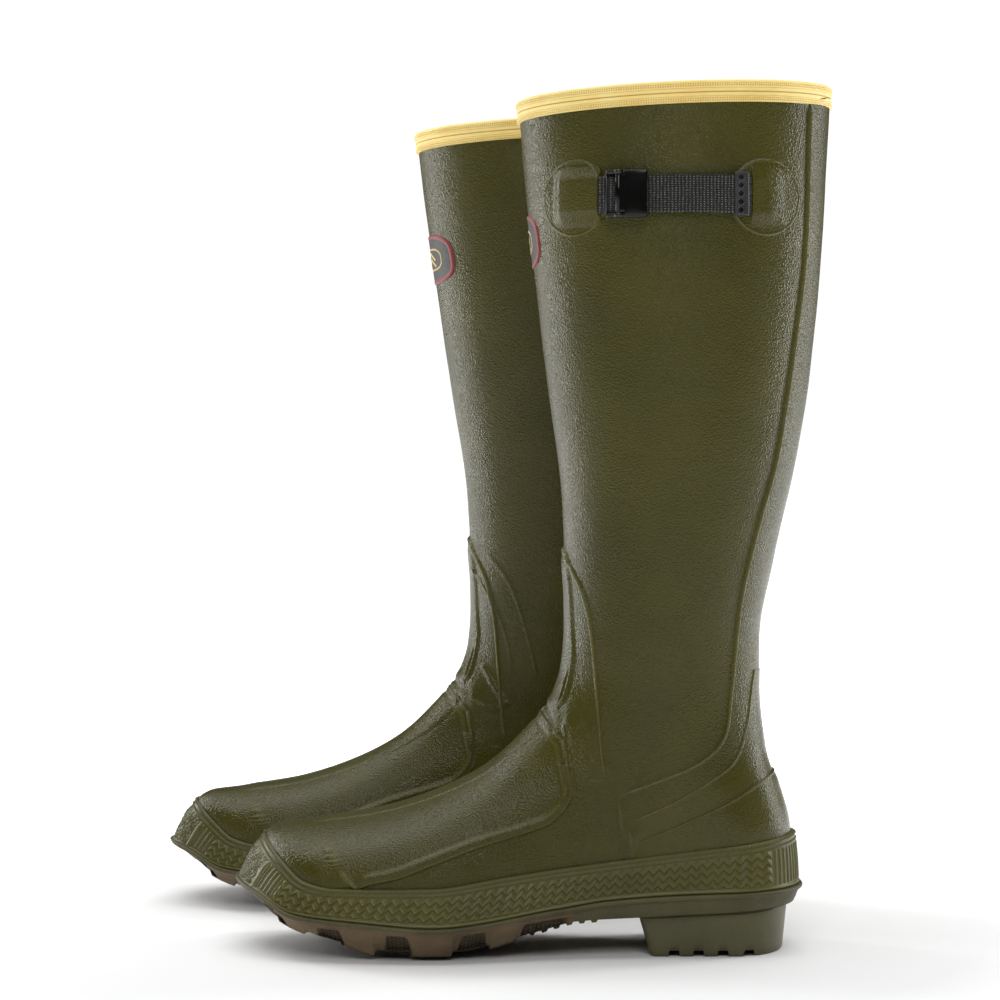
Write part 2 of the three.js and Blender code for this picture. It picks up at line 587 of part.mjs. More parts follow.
// ---- Assembly -----------------------------------------------------------------------------------
function makeBoot(name, mirrored, lean) {
  const boot = new THREE.Group();
  const strap = new THREE.Group(); // the strap rides on the leaning shaft
  strap.position.y = leanAt(STRAP_Z, lean);
  const add = (node, geometry, material, group = boot) => {
    const mesh = new THREE.Mesh(mirrored ? mirror(geometry) : geometry, materials[material]);
    mesh.name = `${name}_${node}`;
    group.add(mesh);
  };
  const shell = (rows, inner, outer) => upperShell(rows, inner, outer, lean);
  const seat = slab(FLANGE, () => -1, above(GAP)); // pieces that rest on the outsole clear this

  // Sole
  const walls = upperShell(["sole", ...FOOT_ROWS.slice(0, 2)], FOOT_CLEAR, FLANGE, 0);
  const filler = cutAway(slab(FOOT_CLEAR, above(0), above(GAP + SHANK.thick)), seat, walls);
  add("outsole", makeOutsole(), "outsole");
  add("heel_block", makeHeelBlock(), "heel");
  add("shank", keepInside(filler, shankZone(0)), "shank");
  add("filler", cutAway(filler, shankZone(GAP)), "filler");
  add("insole_board", cutAway(slab(FOOT_CLEAR, above(BOARD.low), above(BOARD.high)), walls), "board");
  add("footbed", cutAway(slab(FOOT_CLEAR, above(FOOTBED.low), above(FOOTBED.high)), walls), "footbed");

  // Layers of the upper
  const allRows = ["sole", ...FOOT_ROWS, ...LEG_ROWS.slice(1)];
  const seated = (rows, inner, outer) => cutAway(shell(rows, inner, outer), seat);
  add("foot_shell", seated(["sole", ...FOOT_ROWS], -RUBBER, 0), "rubber");
  add("leg_shell", shell(LEG_ROWS, -RUBBER, 0), "rubber");
  add("insulation", seated(allRows, INSULATION_IN, INSULATION_OUT), "insulation");
  add("lining", seated(allRows, LINING_IN, LINING_OUT), "lining");

  // Rubber overlays, in up to three levels
  const upperRows = [...FOOT_ROWS, ...LEG_ROWS.slice(1, -1)];
  const lowRows = upperRows.filter((row) => row <= 200);
  const levels = [0, 1, 2].map((level) => GAP + level * (OVERLAY + GAP));
  const overlay = (rows, inner, outline) =>
    keepInside(shell(rows, inner, inner + OVERLAY), sidePrism(outline));
  add("back_stay", overlay(upperRows, levels[0], BACK_STAY), "rubber");
  add("heel_counter", overlay(lowRows, levels[1], COUNTER), "rubber");
  add("heel_cup", overlay(lowRows, levels[2], HEEL_CUP), "rubber");
  add("ankle_overlay", overlay(upperRows, levels[0], ANKLE), "rubber");
  const behindVamp = sidePrism([[VAMP_BACK, 0], [CUT, 0], [CUT, CUT], [VAMP_BACK, CUT]]);
  add("vamp_overlay", cutAway(overlay(upperRows, levels[1], VAMP), behindVamp), "rubber");
  const badgeBox = box([BADGE.from, -BADGE.back, BADGE.low], [BADGE.to, BADGE.back, BADGE.high]);
  add("badge", keepInside(shell(LEG_ROWS, GAP, GAP + OVERLAY), badgeBox), "badge");

  // Foxing band round the foot, with a second layer over the toe
  const foxingEdge = (offset) => ring(FOOT_ROWS[0], offset, 0).map((p) => p.setZ(p.z - 2 * GAP));
  const foxingFoot = (offset) => ring("sole", offset, 0);
  const foxing = ringsSolid([
    foxingFoot(FOXING + FOXING_FLARE), foxingEdge(FOXING), foxingEdge(GAP), foxingFoot(GAP),
  ]);
  add("foxing", cutAway(foxing, seat), "foxing");
  const guardInner = FOXING + GAP;
  const guardOuter = guardInner + OVERLAY;
  const guardEdge = (offset) => {
    const foot = foxingFoot(offset + FOXING_FLARE);
    return foxingEdge(offset).map((p, i) => p.lerp(foot[i], GUARD_DROP));
  };
  const guard = ringsSolid([
    foxingFoot(guardOuter + FOXING_FLARE), guardEdge(guardOuter), guardEdge(guardInner),
    foxingFoot(guardInner + FOXING_FLARE),
  ]);
  const toe = sidePrism([[-CUT, 0], [TOE_GUARD_END, 0], [TOE_GUARD_END, CUT], [-CUT, CUT]]);
  add("toe_guard", cutAway(keepInside(guard, toe), seat), "foxing");

  // Collar binding, folded over the top edge of all the layers
  const [bindingRow, topRow] = LEG_ROWS.slice(-2);
  const rim = (height, offset, lift) => ring(height, offset, lean).map((p) => p.setZ(p.z + lift));
  const inside = LINING_IN - GAP;
  add("collar_binding", ringsSolid([
    rim(bindingRow, GAP, 0), rim(bindingRow, BINDING_OUT, 0), rim(topRow, BINDING_OUT, BINDING_TOP),
    rim(topRow, inside - BINDING_IN, BINDING_TOP), rim(bindingRow, inside - BINDING_IN, 0),
    rim(bindingRow, inside, 0), rim(topRow, inside, GAP), rim(topRow, GAP, GAP),
  ]), "binding");

  // Strap patches
  const skin = shell(LEG_ROWS, -RUBBER, GAP);
  const shifted = (geometry) => geometry.translate(0, strap.position.y, 0);
  for (const [node, patch] of Object.entries(PATCHES)) {
    const outline = Array.from({ length: PATCH_SIDES }, (_, i) => {
      const a = (2 * Math.PI * i) / PATCH_SIDES;
      const y = patch.y + strap.position.y + patch.half * Math.cos(a);
      return [y, STRAP_Z - PATCH_DROP + PATCH_HALF_Z * Math.sin(a)];
    });
    const oval = keepInside(shell(LEG_ROWS, GAP, PATCH_OUT), sidePrism(outline, PATCH_INNER_X, CUT));
    const pad = arcBand(CALF_RADIUS + 1, CALF_RADIUS + patch.high, ...patch.pad, WEB_HALF + 2, 4);
    const slot = arcBand(CALF_RADIUS - 9, CALF_RADIUS + patch.slotHigh, ...patch.slot, WEB_HALF + 0.4);
    add(node, cutAway(join(oval, shifted(pad)), shifted(slot), skin), "rubber");
  }

  // Strap and buckle
  add("web_loop", makeWebLoop(), "webbing", strap);
  add("strap_web", makeStrapWeb(), "webbing", strap);
  add("buckle_frame", makeBuckleFrame(), "buckle", strap);
  add("buckle_lever", makeLever(), "buckle", strap);
  add("buckle_pin", barAt(PIN, PIN.radius, -RAIL_OUT, RAIL_OUT), "pin", strap);
  add("strap_tail", arcBand(TAIL_LOW, TAIL_LOW + WEB, TAIL_FROM, TAIL_TO, WEB_HALF, 10), "webbing", strap);
  add("strap_tip", makeTip(), "tip", strap);
  boot.add(strap);
  return boot;
}

const pair = new THREE.Group();
const left = makeBoot("left", false, 0);
const right = makeBoot("right", true, RIGHT_SHAFT_LEAN);
left.position.x = BOOT_SPACING / 2;
right.position.set(-BOOT_SPACING / 2, -RIGHT_BOOT_AHEAD, 0);
pair.add(left, right);

// The origin is at the middle of the pair's footprint, on the ground.
const middle = new THREE.Box3().setFromObject(pair, true).getCenter(new THREE.Vector3());
for (const boot of [left, right]) {
  boot.position.x -= middle.x;
  boot.position.y -= middle.y;
}

export default pair;
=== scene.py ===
import math
import bpy
import numpy as np
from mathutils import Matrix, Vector


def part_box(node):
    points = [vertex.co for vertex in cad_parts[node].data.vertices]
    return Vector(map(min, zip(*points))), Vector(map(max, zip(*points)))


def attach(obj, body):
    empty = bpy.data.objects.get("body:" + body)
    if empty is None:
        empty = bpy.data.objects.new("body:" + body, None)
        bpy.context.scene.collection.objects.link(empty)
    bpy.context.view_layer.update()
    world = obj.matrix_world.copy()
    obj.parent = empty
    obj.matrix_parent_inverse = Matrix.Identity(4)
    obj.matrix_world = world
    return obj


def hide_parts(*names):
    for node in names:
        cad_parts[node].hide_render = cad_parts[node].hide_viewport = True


# A pair of knee-high rubber boots. Shapes are worked out in millimetres in the left boot's own frame,
# with the toes towards -Y and x = 0 on its centre plane, then placed in metres. The right boot is its
# mirror image.
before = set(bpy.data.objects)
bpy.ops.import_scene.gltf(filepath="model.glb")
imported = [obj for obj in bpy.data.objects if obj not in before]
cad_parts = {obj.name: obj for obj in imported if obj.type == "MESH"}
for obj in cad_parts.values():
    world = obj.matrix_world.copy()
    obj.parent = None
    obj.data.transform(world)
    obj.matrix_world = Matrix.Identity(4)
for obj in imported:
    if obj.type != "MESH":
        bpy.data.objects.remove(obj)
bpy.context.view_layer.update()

# ---- Dimensions, as in the CAD part ----
TOE_Y, HEEL_Y = -147, 146
RUBBER, INSULATION, LINING = 2.4, 3.5, 1.0
FLANGE = 5.2
STRAP_Z = 396
RIGHT_SHAFT_LEAN = -7.6
FRONT = [
    (-140, 36), (-135, 60), (-128, 64.3), (-112, 66), (-76, 71.2), (-37.6, 84.2), (-15.3, 97), (3, 114),
    (13, 126), (19.5, 137.5), (23, 149), (25, 173), (23.4, 232), (15, 303), (4.4, 397), (-0.3, 450),
]
BACK = [
    (145, 36), (144.8, 62), (138.6, 86), (131.6, 107), (128, 140), (128, 163), (135.2, 204), (146.8, 257),
    (154, 300), (160.4, 364), (166, 457),
]
LEG_HALF = [(36, 36), (90, 36.5), (130, 38.5), (170, 43), (230, 49), (300, 55.5), (380, 61), (457, 64)]
FOOT_LATERAL = [
    (-147, 27), (-120, 40), (-100, 46.5), (-75, 50.5), (-45, 52), (-15, 47.5), (15, 41), (45, 37.5),
    (80, 36), (145, 36),
]
FOOT_MEDIAL = [
    (-147, 29), (-120, 40), (-100, 46.5), (-75, 49), (-50, 48.5), (-20, 42), (10, 35.5), (40, 32.5),
    (70, 32.5), (100, 34), (145, 35),
]
RIDGE_X = [(-140, -10), (-90, -9), (-45, -6), (0, -3), (40, 0), (145, 0)]
FOXING_TOP = [
    (-136, 60), (-123, 49), (-111, 40.8), (-95, 38), (-45, 38.6), (-8, 43.5), (21, 47), (47, 50.2),
    (95, 56.2), (145, 62),
]
SOLE_TOP = [
    (-150, 37), (-138, 33), (-117, 24), (-83, 21), (-46, 18.4), (21, 26.7), (47, 30.5), (95, 33.5), (153, 35),
]
SOLE_UNDER = [
    (-150, 35), (-138, 29), (-115, 16.5), (-75, 7.5), (-45, 6), (-15, 8.5), (10, 15), (30, 20), (66, 21.5),
    (153, 26),
]
TREAD = [
    (-150, 34), (-138, 26), (-128, 17), (-110, 10.5), (-92, 5.5), (-72, 0), (-30, 0), (-10, 5), (9, 11.5),
    (24, 18),
]
BACK_OF_FRONT = [
    (60, 62), (65, 65), (70, 70), (79, 77), (95, 88), (114, 101), (134, 116), (158, 140), (200, 190),
    (260, 256), (340, 342), (434, 441), (448, 455),
]
SAG = [(60, 1), (65, 0.8), (70, 0.62), (79, 0.42), (95, 0.22), (114, 0.08), (134, 0), (450, 0)]
LOW_ROW, ANKLE_ROW, HIGH_ROW = 60, 134, 448  # rows of the upper, named by their height at the front
UPPER_SIDES, OVERLAY_SIDES = 560, 900
SKIRT = 4


# ---- Curves and surfaces ----
def curve(points, key=0, value=1):
    """A smooth curve through points that never overshoots them, flat past its ends."""
    x = np.array([p[key] for p in points], float)
    y = np.array([p[value] for p in points], float)
    slope = np.diff(y) / np.diff(x)
    before, after = np.append(slope[:1], slope), np.append(slope, slope[-1:])
    product = before * after
    total = np.where(before + after == 0, 1, before + after)
    tangent = np.where(product <= 0, 0, 2 * product / total)

    def at(v):
        v = np.clip(v, x[0], x[-1])
        i = np.clip(np.searchsorted(x, v, side="right") - 1, 0, len(x) - 2)
        h = x[i + 1] - x[i]
        t = (v - x[i]) / h
        ends = y[i] * (1 + 2 * t) * (1 - t) ** 2 + y[i + 1] * t * t * (3 - 2 * t)
        return ends + h * (tangent[i] * t * (1 - t) ** 2 - tangent[i + 1] * t * t * (1 - t))

    return at


front_y, back_y = curve(FRONT, 1, 0), curve(BACK, 1, 0)
leg_half, foot_lateral, foot_medial = curve(LEG_HALF), curve(FOOT_LATERAL), curve(FOOT_MEDIAL)
ridge_x, foxing_top, sole_top = curve(RIDGE_X), curve(FOXING_TOP), curve(SOLE_TOP)
sole_under, tread = curve(SOLE_UNDER), curve(TREAD)
back_of_front, sag = curve(BACK_OF_FRONT), curve(SAG)


def smoothstep(v):
    t = np.clip(v, 0, 1)
    return t * t * (3 - 2 * t)


def ramp(v, start, width):
    """0 below start, then rising smoothly to 1 over width."""
    return smoothstep((v - start) / width)


def fall(v, end, width):
    """0 above end, and rising smoothly to 1 over width below it."""
    return smoothstep((end - v) / width)


def bump(v, width):
    """A smooth ridge, 1 where v is 0 and 0 beyond width either side."""
    return smoothstep(1 - np.abs(v) / width)


def rounding(distance, radius, power=2.0):
    return (1 - (1 - np.clip(distance / radius, 0, 1)) ** power) ** (1 / power)


SHIN_Z, CREST_SLOPE = 173, 5
_crest_z = np.linspace(FRONT[0][1], SHIN_Z, 400)
_crest_y = front_y(_crest_z)


def crest(y):
    """Height of the foot's crest at y; behind the shin it rises steeply on."""
    return np.interp(y, _crest_y, _crest_z) + CREST_SLOPE * np.maximum(y - _crest_y[-1], 0)


TOE_ROUND, HEEL_ROUND = 38, 38  # radii of the plan's round ends
SHIN_ROUND, SHIN_ROUND_RISE = 62, 25  # of the leg's front: low down, and how much it grows
LEG_FROM, LEG_RISE = 60, 110  # the section turns from foot to leg over this rise
PLAN_POWER, CROWN_POWER = 2.1, 2.3
BEND_Y, BEND_Z, BEND_FROM, BEND_SPAN = -40, 165, 10, 70  # the ankle's pivot, and angles in degrees
LEAN_FROM, LEAN_RISE, LEAN_MOST, LEAN_POWER = 150, 300, 1.1, 1.6
DIP_LENGTH = 40  # the foxing's dip comes on over this distance from the front
FOOT_LINE_RISE, FOOT_LINE_RUN = 2, 280  # the line that the foxing's edge dips below
RIDGE_FROM, RIDGE_RISE = 80, 60  # the crest comes back to the middle over this rise
TURN_STEP, HEIGHT_STEP, PLAN_STEP = 0.006, 0.4, 0.01  # steps for slopes of the surface


def half_width(y, z, side):
    """Half width of the upper at a point of the side view. side is 1 laterally, -1 medially."""
    floor = foxing_top(y)
    rise = np.clip((z - floor) / (crest(y) - floor), 0, 1)
    plan = np.where(side > 0, foot_lateral(y) - ridge_x(y), foot_medial(y) + ridge_x(y))
    foot = plan * rounding(y - front_y(np.minimum(z, FRONT[1][1])), TOE_ROUND, PLAN_POWER)
    foot = foot * rounding(back_y(z) - y, HEEL_ROUND, PLAN_POWER) * np.sqrt(1 - rise ** CROWN_POWER)
    depth = back_y(z) - front_y(z)
    high = ramp(z, LEG_FROM, LEG_RISE)
    shin_round = np.minimum(depth / 2, SHIN_ROUND + SHIN_ROUND_RISE * high)
    leg = leg_half(z) * rounding(y - front_y(z), shin_round)
    leg = leg * rounding(back_y(z) - y, HEEL_ROUND + (depth / 2 - HEEL_ROUND) * high)
    mix = ramp(np.degrees(np.arctan2(y - BEND_Y, BEND_Z - z)), BEND_FROM, BEND_SPAN)
    return foot * (1 - mix) + leg * mix


def lean_at(z, lean):
    return lean * np.clip((z - LEAN_FROM) / LEAN_RISE, 0, LEAN_MOST) ** LEAN_POWER


def upper_point(angle, height, lean):
    """A point of the upper's outside. The angle is 0 at the front and runs towards the lateral side."""
    along = (1 - np.cos(angle)) / 2
    side = np.where(np.sin(angle) >= 0, 1, -1)
    back_z, weight = back_of_front(height), sag(height)
    y = front_y(height) * (1 - along) + back_y(back_z) * along
    mixing = 1 - np.exp(-(y - front_y(height)) / (DIP_LENGTH * (1 - weight) + 0.001))
    level = foxing_top(y) - (FOXING_TOP[0][1] + FOOT_LINE_RISE * (y - FRONT[1][0]) / FOOT_LINE_RUN)
    z = height * (1 - along) + back_z * along + weight * mixing * level
    half = np.where(np.abs(np.sin(angle)) < 1e-9, 0, half_width(y, z, side))
    x = ridge_x(y) * (1 - ramp(height, RIDGE_FROM, RIDGE_RISE)) + side * half
    return np.stack([x, y + lean_at(z, lean), z], -1)


def unit(v):
    return v / np.maximum(np.linalg.norm(v, axis=-1, keepdims=True), 1e-9)


def upper_grid(angles, heights, lean):
    """Points and outward normals of the upper on a grid, rows by height and columns by angle."""
    a, h = np.meshgrid(angles, heights)
    low, high = (np.clip(h + step, LOW_ROW, HIGH_ROW) for step in (-HEIGHT_STEP, HEIGHT_STEP))
    around = upper_point(a + TURN_STEP, h, lean) - upper_point(a - TURN_STEP, h, lean)
    rise = upper_point(a, high, lean) - upper_point(a, low, lean)
    return upper_point(a, h, lean), unit(np.cross(around, rise))


def footprint(angle):
    along, side = (1 - np.cos(angle)) / 2, np.where(np.sin(angle) >= 0, 1, -1)
    y = TOE_Y * (1 - along) + HEEL_Y * along
    middle = ridge_x(y)
    half = np.where(side > 0, foot_lateral(y) - middle, foot_medial(y) + middle)
    half = half * rounding(y - TOE_Y, TOE_ROUND, PLAN_POWER)
    half = half * rounding(HEEL_Y - y, HEEL_ROUND, PLAN_POWER)
    return np.stack([middle + side * half, y, 0 * y], -1)


def outline(angle, offset):
    """The footprint's outline moved out by offset, and its outward direction."""
    around = footprint(angle + PLAN_STEP) - footprint(angle - PLAN_STEP)
    out = unit(np.stack([around[..., 1], -around[..., 0], 0 * around[..., 0]], -1))
    return footprint(angle) + out * np.asarray(offset)[..., None], out


# ---- Meshes ----
class Mesh:
    """Points in millimetres in a boot's own frame, faces, and per-point marks of painted light and of tone.
    """

    def __init__(self):
        self.points, self.faces, self.wear, self.count = [], [], [], 0

    def grid(self, points, wrap=False, wear=None, flip=False, keep=None, close=False):
        """A sheet of quads over rows x columns of points. wrap joins its sides, close its ends."""
        rows, cols = points.shape[:2]
        index = np.arange(rows * cols).reshape(rows, cols)
        if wrap:
            index = np.concatenate([index, index[:, :1]], 1)
        if close:
            index = np.concatenate([index, index[:1]], 0)
        corners = [index[:-1, :-1], index[:-1, 1:], index[1:, 1:], index[1:, :-1]]
        quads = np.stack(corners, -1).reshape(-1, 4)
        flat = points.reshape(-1, 3)
        mark_tone = np.zeros(len(flat)) if wear is None else np.asarray(wear, float).reshape(-1)
        if keep is not None:
            quads = quads[keep.reshape(-1)[quads].any(1)]
            used, back = np.unique(quads, return_inverse=True)
            quads, flat, mark_tone = back.reshape(-1, 4), flat[used], mark_tone[used]
        return self.append(flat, quads, mark_tone, flip)

    def fan(self, ring, centre, flip=False):
        """Closes a ring of points with triangles to a centre, stored as quads that repeat it."""
        n = len(ring)
        i = np.arange(n)
        quads = np.stack([i, (i + 1) % n, np.full(n, n), np.full(n, n)], -1)
        points = np.concatenate([ring, np.asarray(centre, float)[None]], 0)
        return self.append(points, quads, np.zeros(n + 1), flip)

    def tube(self, rings, flip=False):
        """A closed body through rings of points, with a fan over each end."""
        self.grid(rings, wrap=True, flip=flip)
        self.fan(rings[0], rings[0].mean(0), flip=not flip)
        return self.fan(rings[-1], rings[-1].mean(0), flip=flip)

    def append(self, points, quads, wear, flip):
        self.points.append(points)
        self.wear.append(wear)
        self.faces.append((quads[:, ::-1] if flip else quads) + self.count)
        self.count += len(points)
        return self

    def add_to(self, name, boot, material):
        """Makes the Blender object. A quad that repeats a point becomes a triangle."""
        points, faces, wear = (np.concatenate(part) for part in (self.points, self.faces, self.wear))
        points = (points * [boot.side, 1, 1] + boot.place) / 1000
        if boot.side < 0:
            faces = faces[:, ::-1]
        distinct = faces != np.roll(faces, 1, 1)
        loops, sides = faces[distinct], distinct.sum(1)
        mesh = bpy.data.meshes.new(name)
        mesh.vertices.add(len(points))
        mesh.vertices.foreach_set("co", points.astype(np.float32).ravel())
        mesh.loops.add(len(loops))
        mesh.loops.foreach_set("vertex_index", loops.astype(np.int32))
        mesh.polygons.add(len(faces))
        mesh.polygons.foreach_set("loop_start", (np.cumsum(sides) - sides).astype(np.int32))
        mesh.polygons.foreach_set("use_smooth", np.ones(len(faces), bool))
        mesh.update(calc_edges=True)
        mesh.validate()
        # Per-point marks: painted highlight, painted shade and zones of colour.
        layer = mesh.attributes.new("wear", "FLOAT", "POINT")
        layer.data.foreach_set("value", wear.astype(np.float32))
        mesh.materials.append(material)
        obj = bpy.data.objects.new(name, mesh)
        bpy.context.scene.collection.objects.link(obj)
        return obj


def turn(count):
    return 2 * np.pi * np.arange(count) / count


# ---- Materials ----
MIX_FACTOR, MIX_A, MIX_B, MIX_RESULT = 0, 6, 7, 2  # a Mix node's sockets for colour


class Nodes:
    """A short way to wire a node material."""

    def __init__(self, name):
        self.material = bpy.data.materials.new(name)
        self.material.use_nodes = True
        self.tree = self.material.node_tree
        self.shader = self.tree.nodes["Principled BSDF"]
        self.coords = self.tree.nodes.new("ShaderNodeTexCoord").outputs["Object"]

    def node(self, kind, inputs, **settings):
        made = self.tree.nodes.new(kind)
        for key, value in settings.items():
            setattr(made, key, value)
        for key, value in inputs.items():
            self.put(made.inputs[key], value)
        return made

    def put(self, socket, value):
        if isinstance(value, bpy.types.NodeSocket):
            self.tree.links.new(value, socket)
        else:
            socket.default_value = value

    def noise(self, scale, detail=3.0, roughness=0.5):
        inputs = {"Vector": self.coords, "Scale": scale, "Detail": detail, "Roughness": roughness}
        return self.node("ShaderNodeTexNoise", inputs).outputs["Fac"]

    def cells(self, scale, feature="F1", smooth=0.3):
        inputs = {"Vector": self.coords, "Scale": scale}
        made = self.node("ShaderNodeTexVoronoi", inputs, feature=feature)
        if feature == "SMOOTH_F1":
            made.inputs["Smoothness"].default_value = smooth
        return made.outputs["Distance"]

    def waves(self, scale, axis, distortion=0.0):
        inputs = {"Vector": self.coords, "Scale": scale, "Distortion": distortion}
        return self.node("ShaderNodeTexWave", inputs, bands_direction=axis).outputs["Fac"]

    def math(self, operation, a, b=0.0):
        return self.node("ShaderNodeMath", {0: a, 1: b}, operation=operation).outputs[0]

    def times(self, a, b):
        return self.math("MULTIPLY", a, b)

    def span(self, value, low, high, start=0.0, end=1.0):
        inputs = {"Value": value, "From Min": start, "From Max": end, "To Min": low, "To Max": high}
        return self.node("ShaderNodeMapRange", inputs).outputs["Result"]

    def mix(self, factor, a, b):
        inputs = {MIX_FACTOR: factor, MIX_A: a, MIX_B: b}
        return self.node("ShaderNodeMix", inputs, data_type="RGBA").outputs[MIX_RESULT]

    def tones(self, value, dark, light, low=0.3, high=0.7):
        """A colour that goes from dark to light as value goes from low to high."""
        return self.mix(self.span(value, 0, 1, low, high), dark, light)

    def attribute(self, name):
        return self.node("ShaderNodeAttribute", {}, attribute_name=name).outputs["Fac"]

    def bumps(self, *layers):
        """Bump layers as (height, strength, distance in metres), the coarsest first."""
        normal = None
        for height, strength, distance in layers:
            inputs = {"Height": height, "Strength": strength, "Distance": distance}
            if normal is not None:
                inputs["Normal"] = normal
            normal = self.node("ShaderNodeBump", inputs).outputs["Normal"]
        self.put(self.shader.inputs["Normal"], normal)

    def finish(self, color, roughness, metallic=0.0, specular=0.5, **more):
        self.put(self.shader.inputs["Base Color"], color)
        self.put(self.shader.inputs["Roughness"], roughness)
        self.shader.inputs["Metallic"].default_value = metallic
        self.shader.inputs["Specular IOR Level"].default_value = specular
        for key, value in more.items():
            self.shader.inputs[key.replace("_", " ")].default_value = value
        return self.material


def rgb(r, g, b):
    """A colour given as sRGB bytes."""
    def linear(v):
        return v / 255 / 12.92 if v <= 10 else ((v / 255 + 0.055) / 1.055) ** 2.4

    return (linear(r), linear(g), linear(b), 1.0)


def rubber(name, dark, light, mark_tone, grain=1.0, grain_size=0.001, rough=(0.24, 0.32), specular=0.27):
    """Pebbled rubber. A positive mark lightens it towards its highlight tone: painted highlight. A negative
    mark darkens it: painted shade.
    """
    n = Nodes(name)
    cloud, speckle = n.noise(22, 3), n.noise(900, 1)
    pebble = n.cells(1 / grain_size, "SMOOTH_F1", 0.35)
    tone = n.math("ADD", n.times(cloud, 0.85), n.times(speckle, 0.15))
    base = n.tones(tone, dark, light)
    wear = n.attribute("wear")
    # A dark copy of the rubber, for painted shade.
    shade_colour = tuple(0.35 * c for c in dark[:3]) + (1.0,)
    # Positive marks paint a highlight in the highlight tone, negative marks paint shade.
    colour = n.mix(n.span(wear, 0, 0.6), base, mark_tone)
    colour = n.mix(n.span(wear, 0.9, 0, -1, 0), colour, shade_colour)
    fine = (speckle, 0.3 * grain, 0.0003)
    n.bumps((n.noise(110, 1), 0.1, 0.0012), (pebble, 0.7 * grain, 0.0004), fine)
    return n.finish(colour, n.span(n.noise(60, 2), *rough, 0.3, 0.7), specular=specular)


# The third colour of each rubber is the tone of its painted highlights.
olive = rubber("olive_rubber", rgb(59, 57, 14), rgb(70, 67, 20), rgb(108, 104, 52))
smooth_olive = rubber("smooth_olive_rubber", rgb(61, 59, 16), rgb(73, 70, 23), rgb(110, 106, 54), 0.6)
foxing_olive = rubber("foxing_rubber", rgb(72, 70, 34), rgb(90, 88, 46), rgb(116, 113, 70),
                      grain=0.4, grain_size=0.0009, rough=(0.3, 0.42))


def sole_material():
    """Brown lugs. A mark of -1 gives the rim's green instead, and 1 the painted shade of the hollows."""
    n = Nodes("sole_rubber")
    cloud, speckle, dots = n.noise(40, 4), n.noise(1100, 2), n.cells(700, "SMOOTH_F1", 0.3)
    wear = n.attribute("wear")
    brown = n.tones(cloud, rgb(80, 66, 44), rgb(116, 98, 72))
    green = n.tones(cloud, rgb(62, 59, 32), rgb(82, 77, 48))
    base = n.mix(n.span(wear, 1, 0, -1, 0), brown, green)
    # Painted shade in the hollows between the lugs.
    colour = n.mix(n.span(wear, 0, 1), base, rgb(30, 27, 18))
    n.bumps((n.noise(140, 3), 0.2, 0.001), (dots, 0.5, 0.0004), (speckle, 0.3, 0.0003))
    return n.finish(colour, n.span(speckle, 0.42, 0.6), specular=0.35)


sole_rubber = sole_material()
# Its third colour is the tone of painted highlights.
heel_rubber = rubber("heel_rubber", rgb(70, 67, 38), rgb(92, 88, 56), rgb(122, 116, 82),
                     grain=0.45, grain_size=0.0012, rough=(0.36, 0.5), specular=0.4)


def binding_material():
    n = Nodes("yellow_binding")
    cloud, fine = n.noise(35, 4), n.noise(700, 2)
    colour = n.tones(cloud, rgb(238, 206, 120), rgb(250, 226, 146), 0.35, 0.65)
    # Painted shade: brown in the grooves and between the beads.
    colour = n.mix(n.attribute("wear"), colour, rgb(150, 108, 44))
    n.bumps((fine, 0.35, 0.0003), (n.cells(900), 0.2, 0.0002))
    return n.finish(colour, n.span(fine, 0.5, 0.68), specular=0.4)


def webbing_material():
    n = Nodes("black_webbing")
    warp, weft, fuzz = n.waves(270, "Z", 3.0), n.waves(172, "Y", 1.5), n.noise(1500, 1)
    thread = n.times(warp, weft)
    glint = n.span(n.times(thread, fuzz), 0, 1, 0.22, 0.6)
    colour = n.mix(glint, rgb(10, 10, 9), rgb(140, 137, 128))
    n.bumps((thread, 0.9, 0.0005), (fuzz, 0.5, 0.0003))
    sheen = {"Sheen_Weight": 0.25, "Sheen_Roughness": 0.5}
    return n.finish(colour, n.span(fuzz, 0.6, 0.85), specular=0.35, **sheen)


def plastic_material(name, dark, light, rough, bumpy, specular=0.5):
    n = Nodes(name)
    smear, fine = n.noise(90, 4), n.noise(1800, 2)
    colour = n.tones(smear, dark, light)
    n.bumps((smear, 0.08, 0.0006), (fine, bumpy, 0.00012))
    return n.finish(colour, n.span(smear, *rough, 0.3, 0.7), specular=specular)


def knit_material(name, dark, light, scale):
    n = Nodes(name)
    rows, columns, fuzz = n.waves(scale, "Z", 1.2), n.waves(scale * 1.3, "Y", 1.2), n.noise(900, 3)
    loops = n.times(rows, columns)
    tone = n.math("ADD", n.times(loops, 0.7), n.times(fuzz, 0.3))
    colour = n.mix(tone, dark, light)
    n.bumps((loops, 0.7, 0.0008), (fuzz, 0.6, 0.0004))
    sheen = {"Sheen_Weight": 0.4, "Sheen_Roughness": 0.6}
    return n.finish(colour, n.span(fuzz, 0.85, 1.0), specular=0.15, **sheen)


def filler_material(name, dark, light, scale, rough):
    n = Nodes(name)
    chips, fine = n.cells(scale), n.noise(scale * 3, 4)
    colour = n.tones(chips, dark, light, 0.1, 0.8)
    n.bumps((chips, 0.5, 0.0006), (fine, 0.5, 0.0003))
    return n.finish(colour, n.span(fine, *rough), specular=0.25)


def steel_material():
    n = Nodes("plain_steel")
    brushed = n.noise(500, 5, 0.7)
    n.bumps((brushed, 0.2, 0.0002))
    colour = n.mix(brushed, rgb(150, 152, 154), rgb(205, 206, 208))
    return n.finish(colour, n.span(brushed, 0.25, 0.45), metallic=1.0)


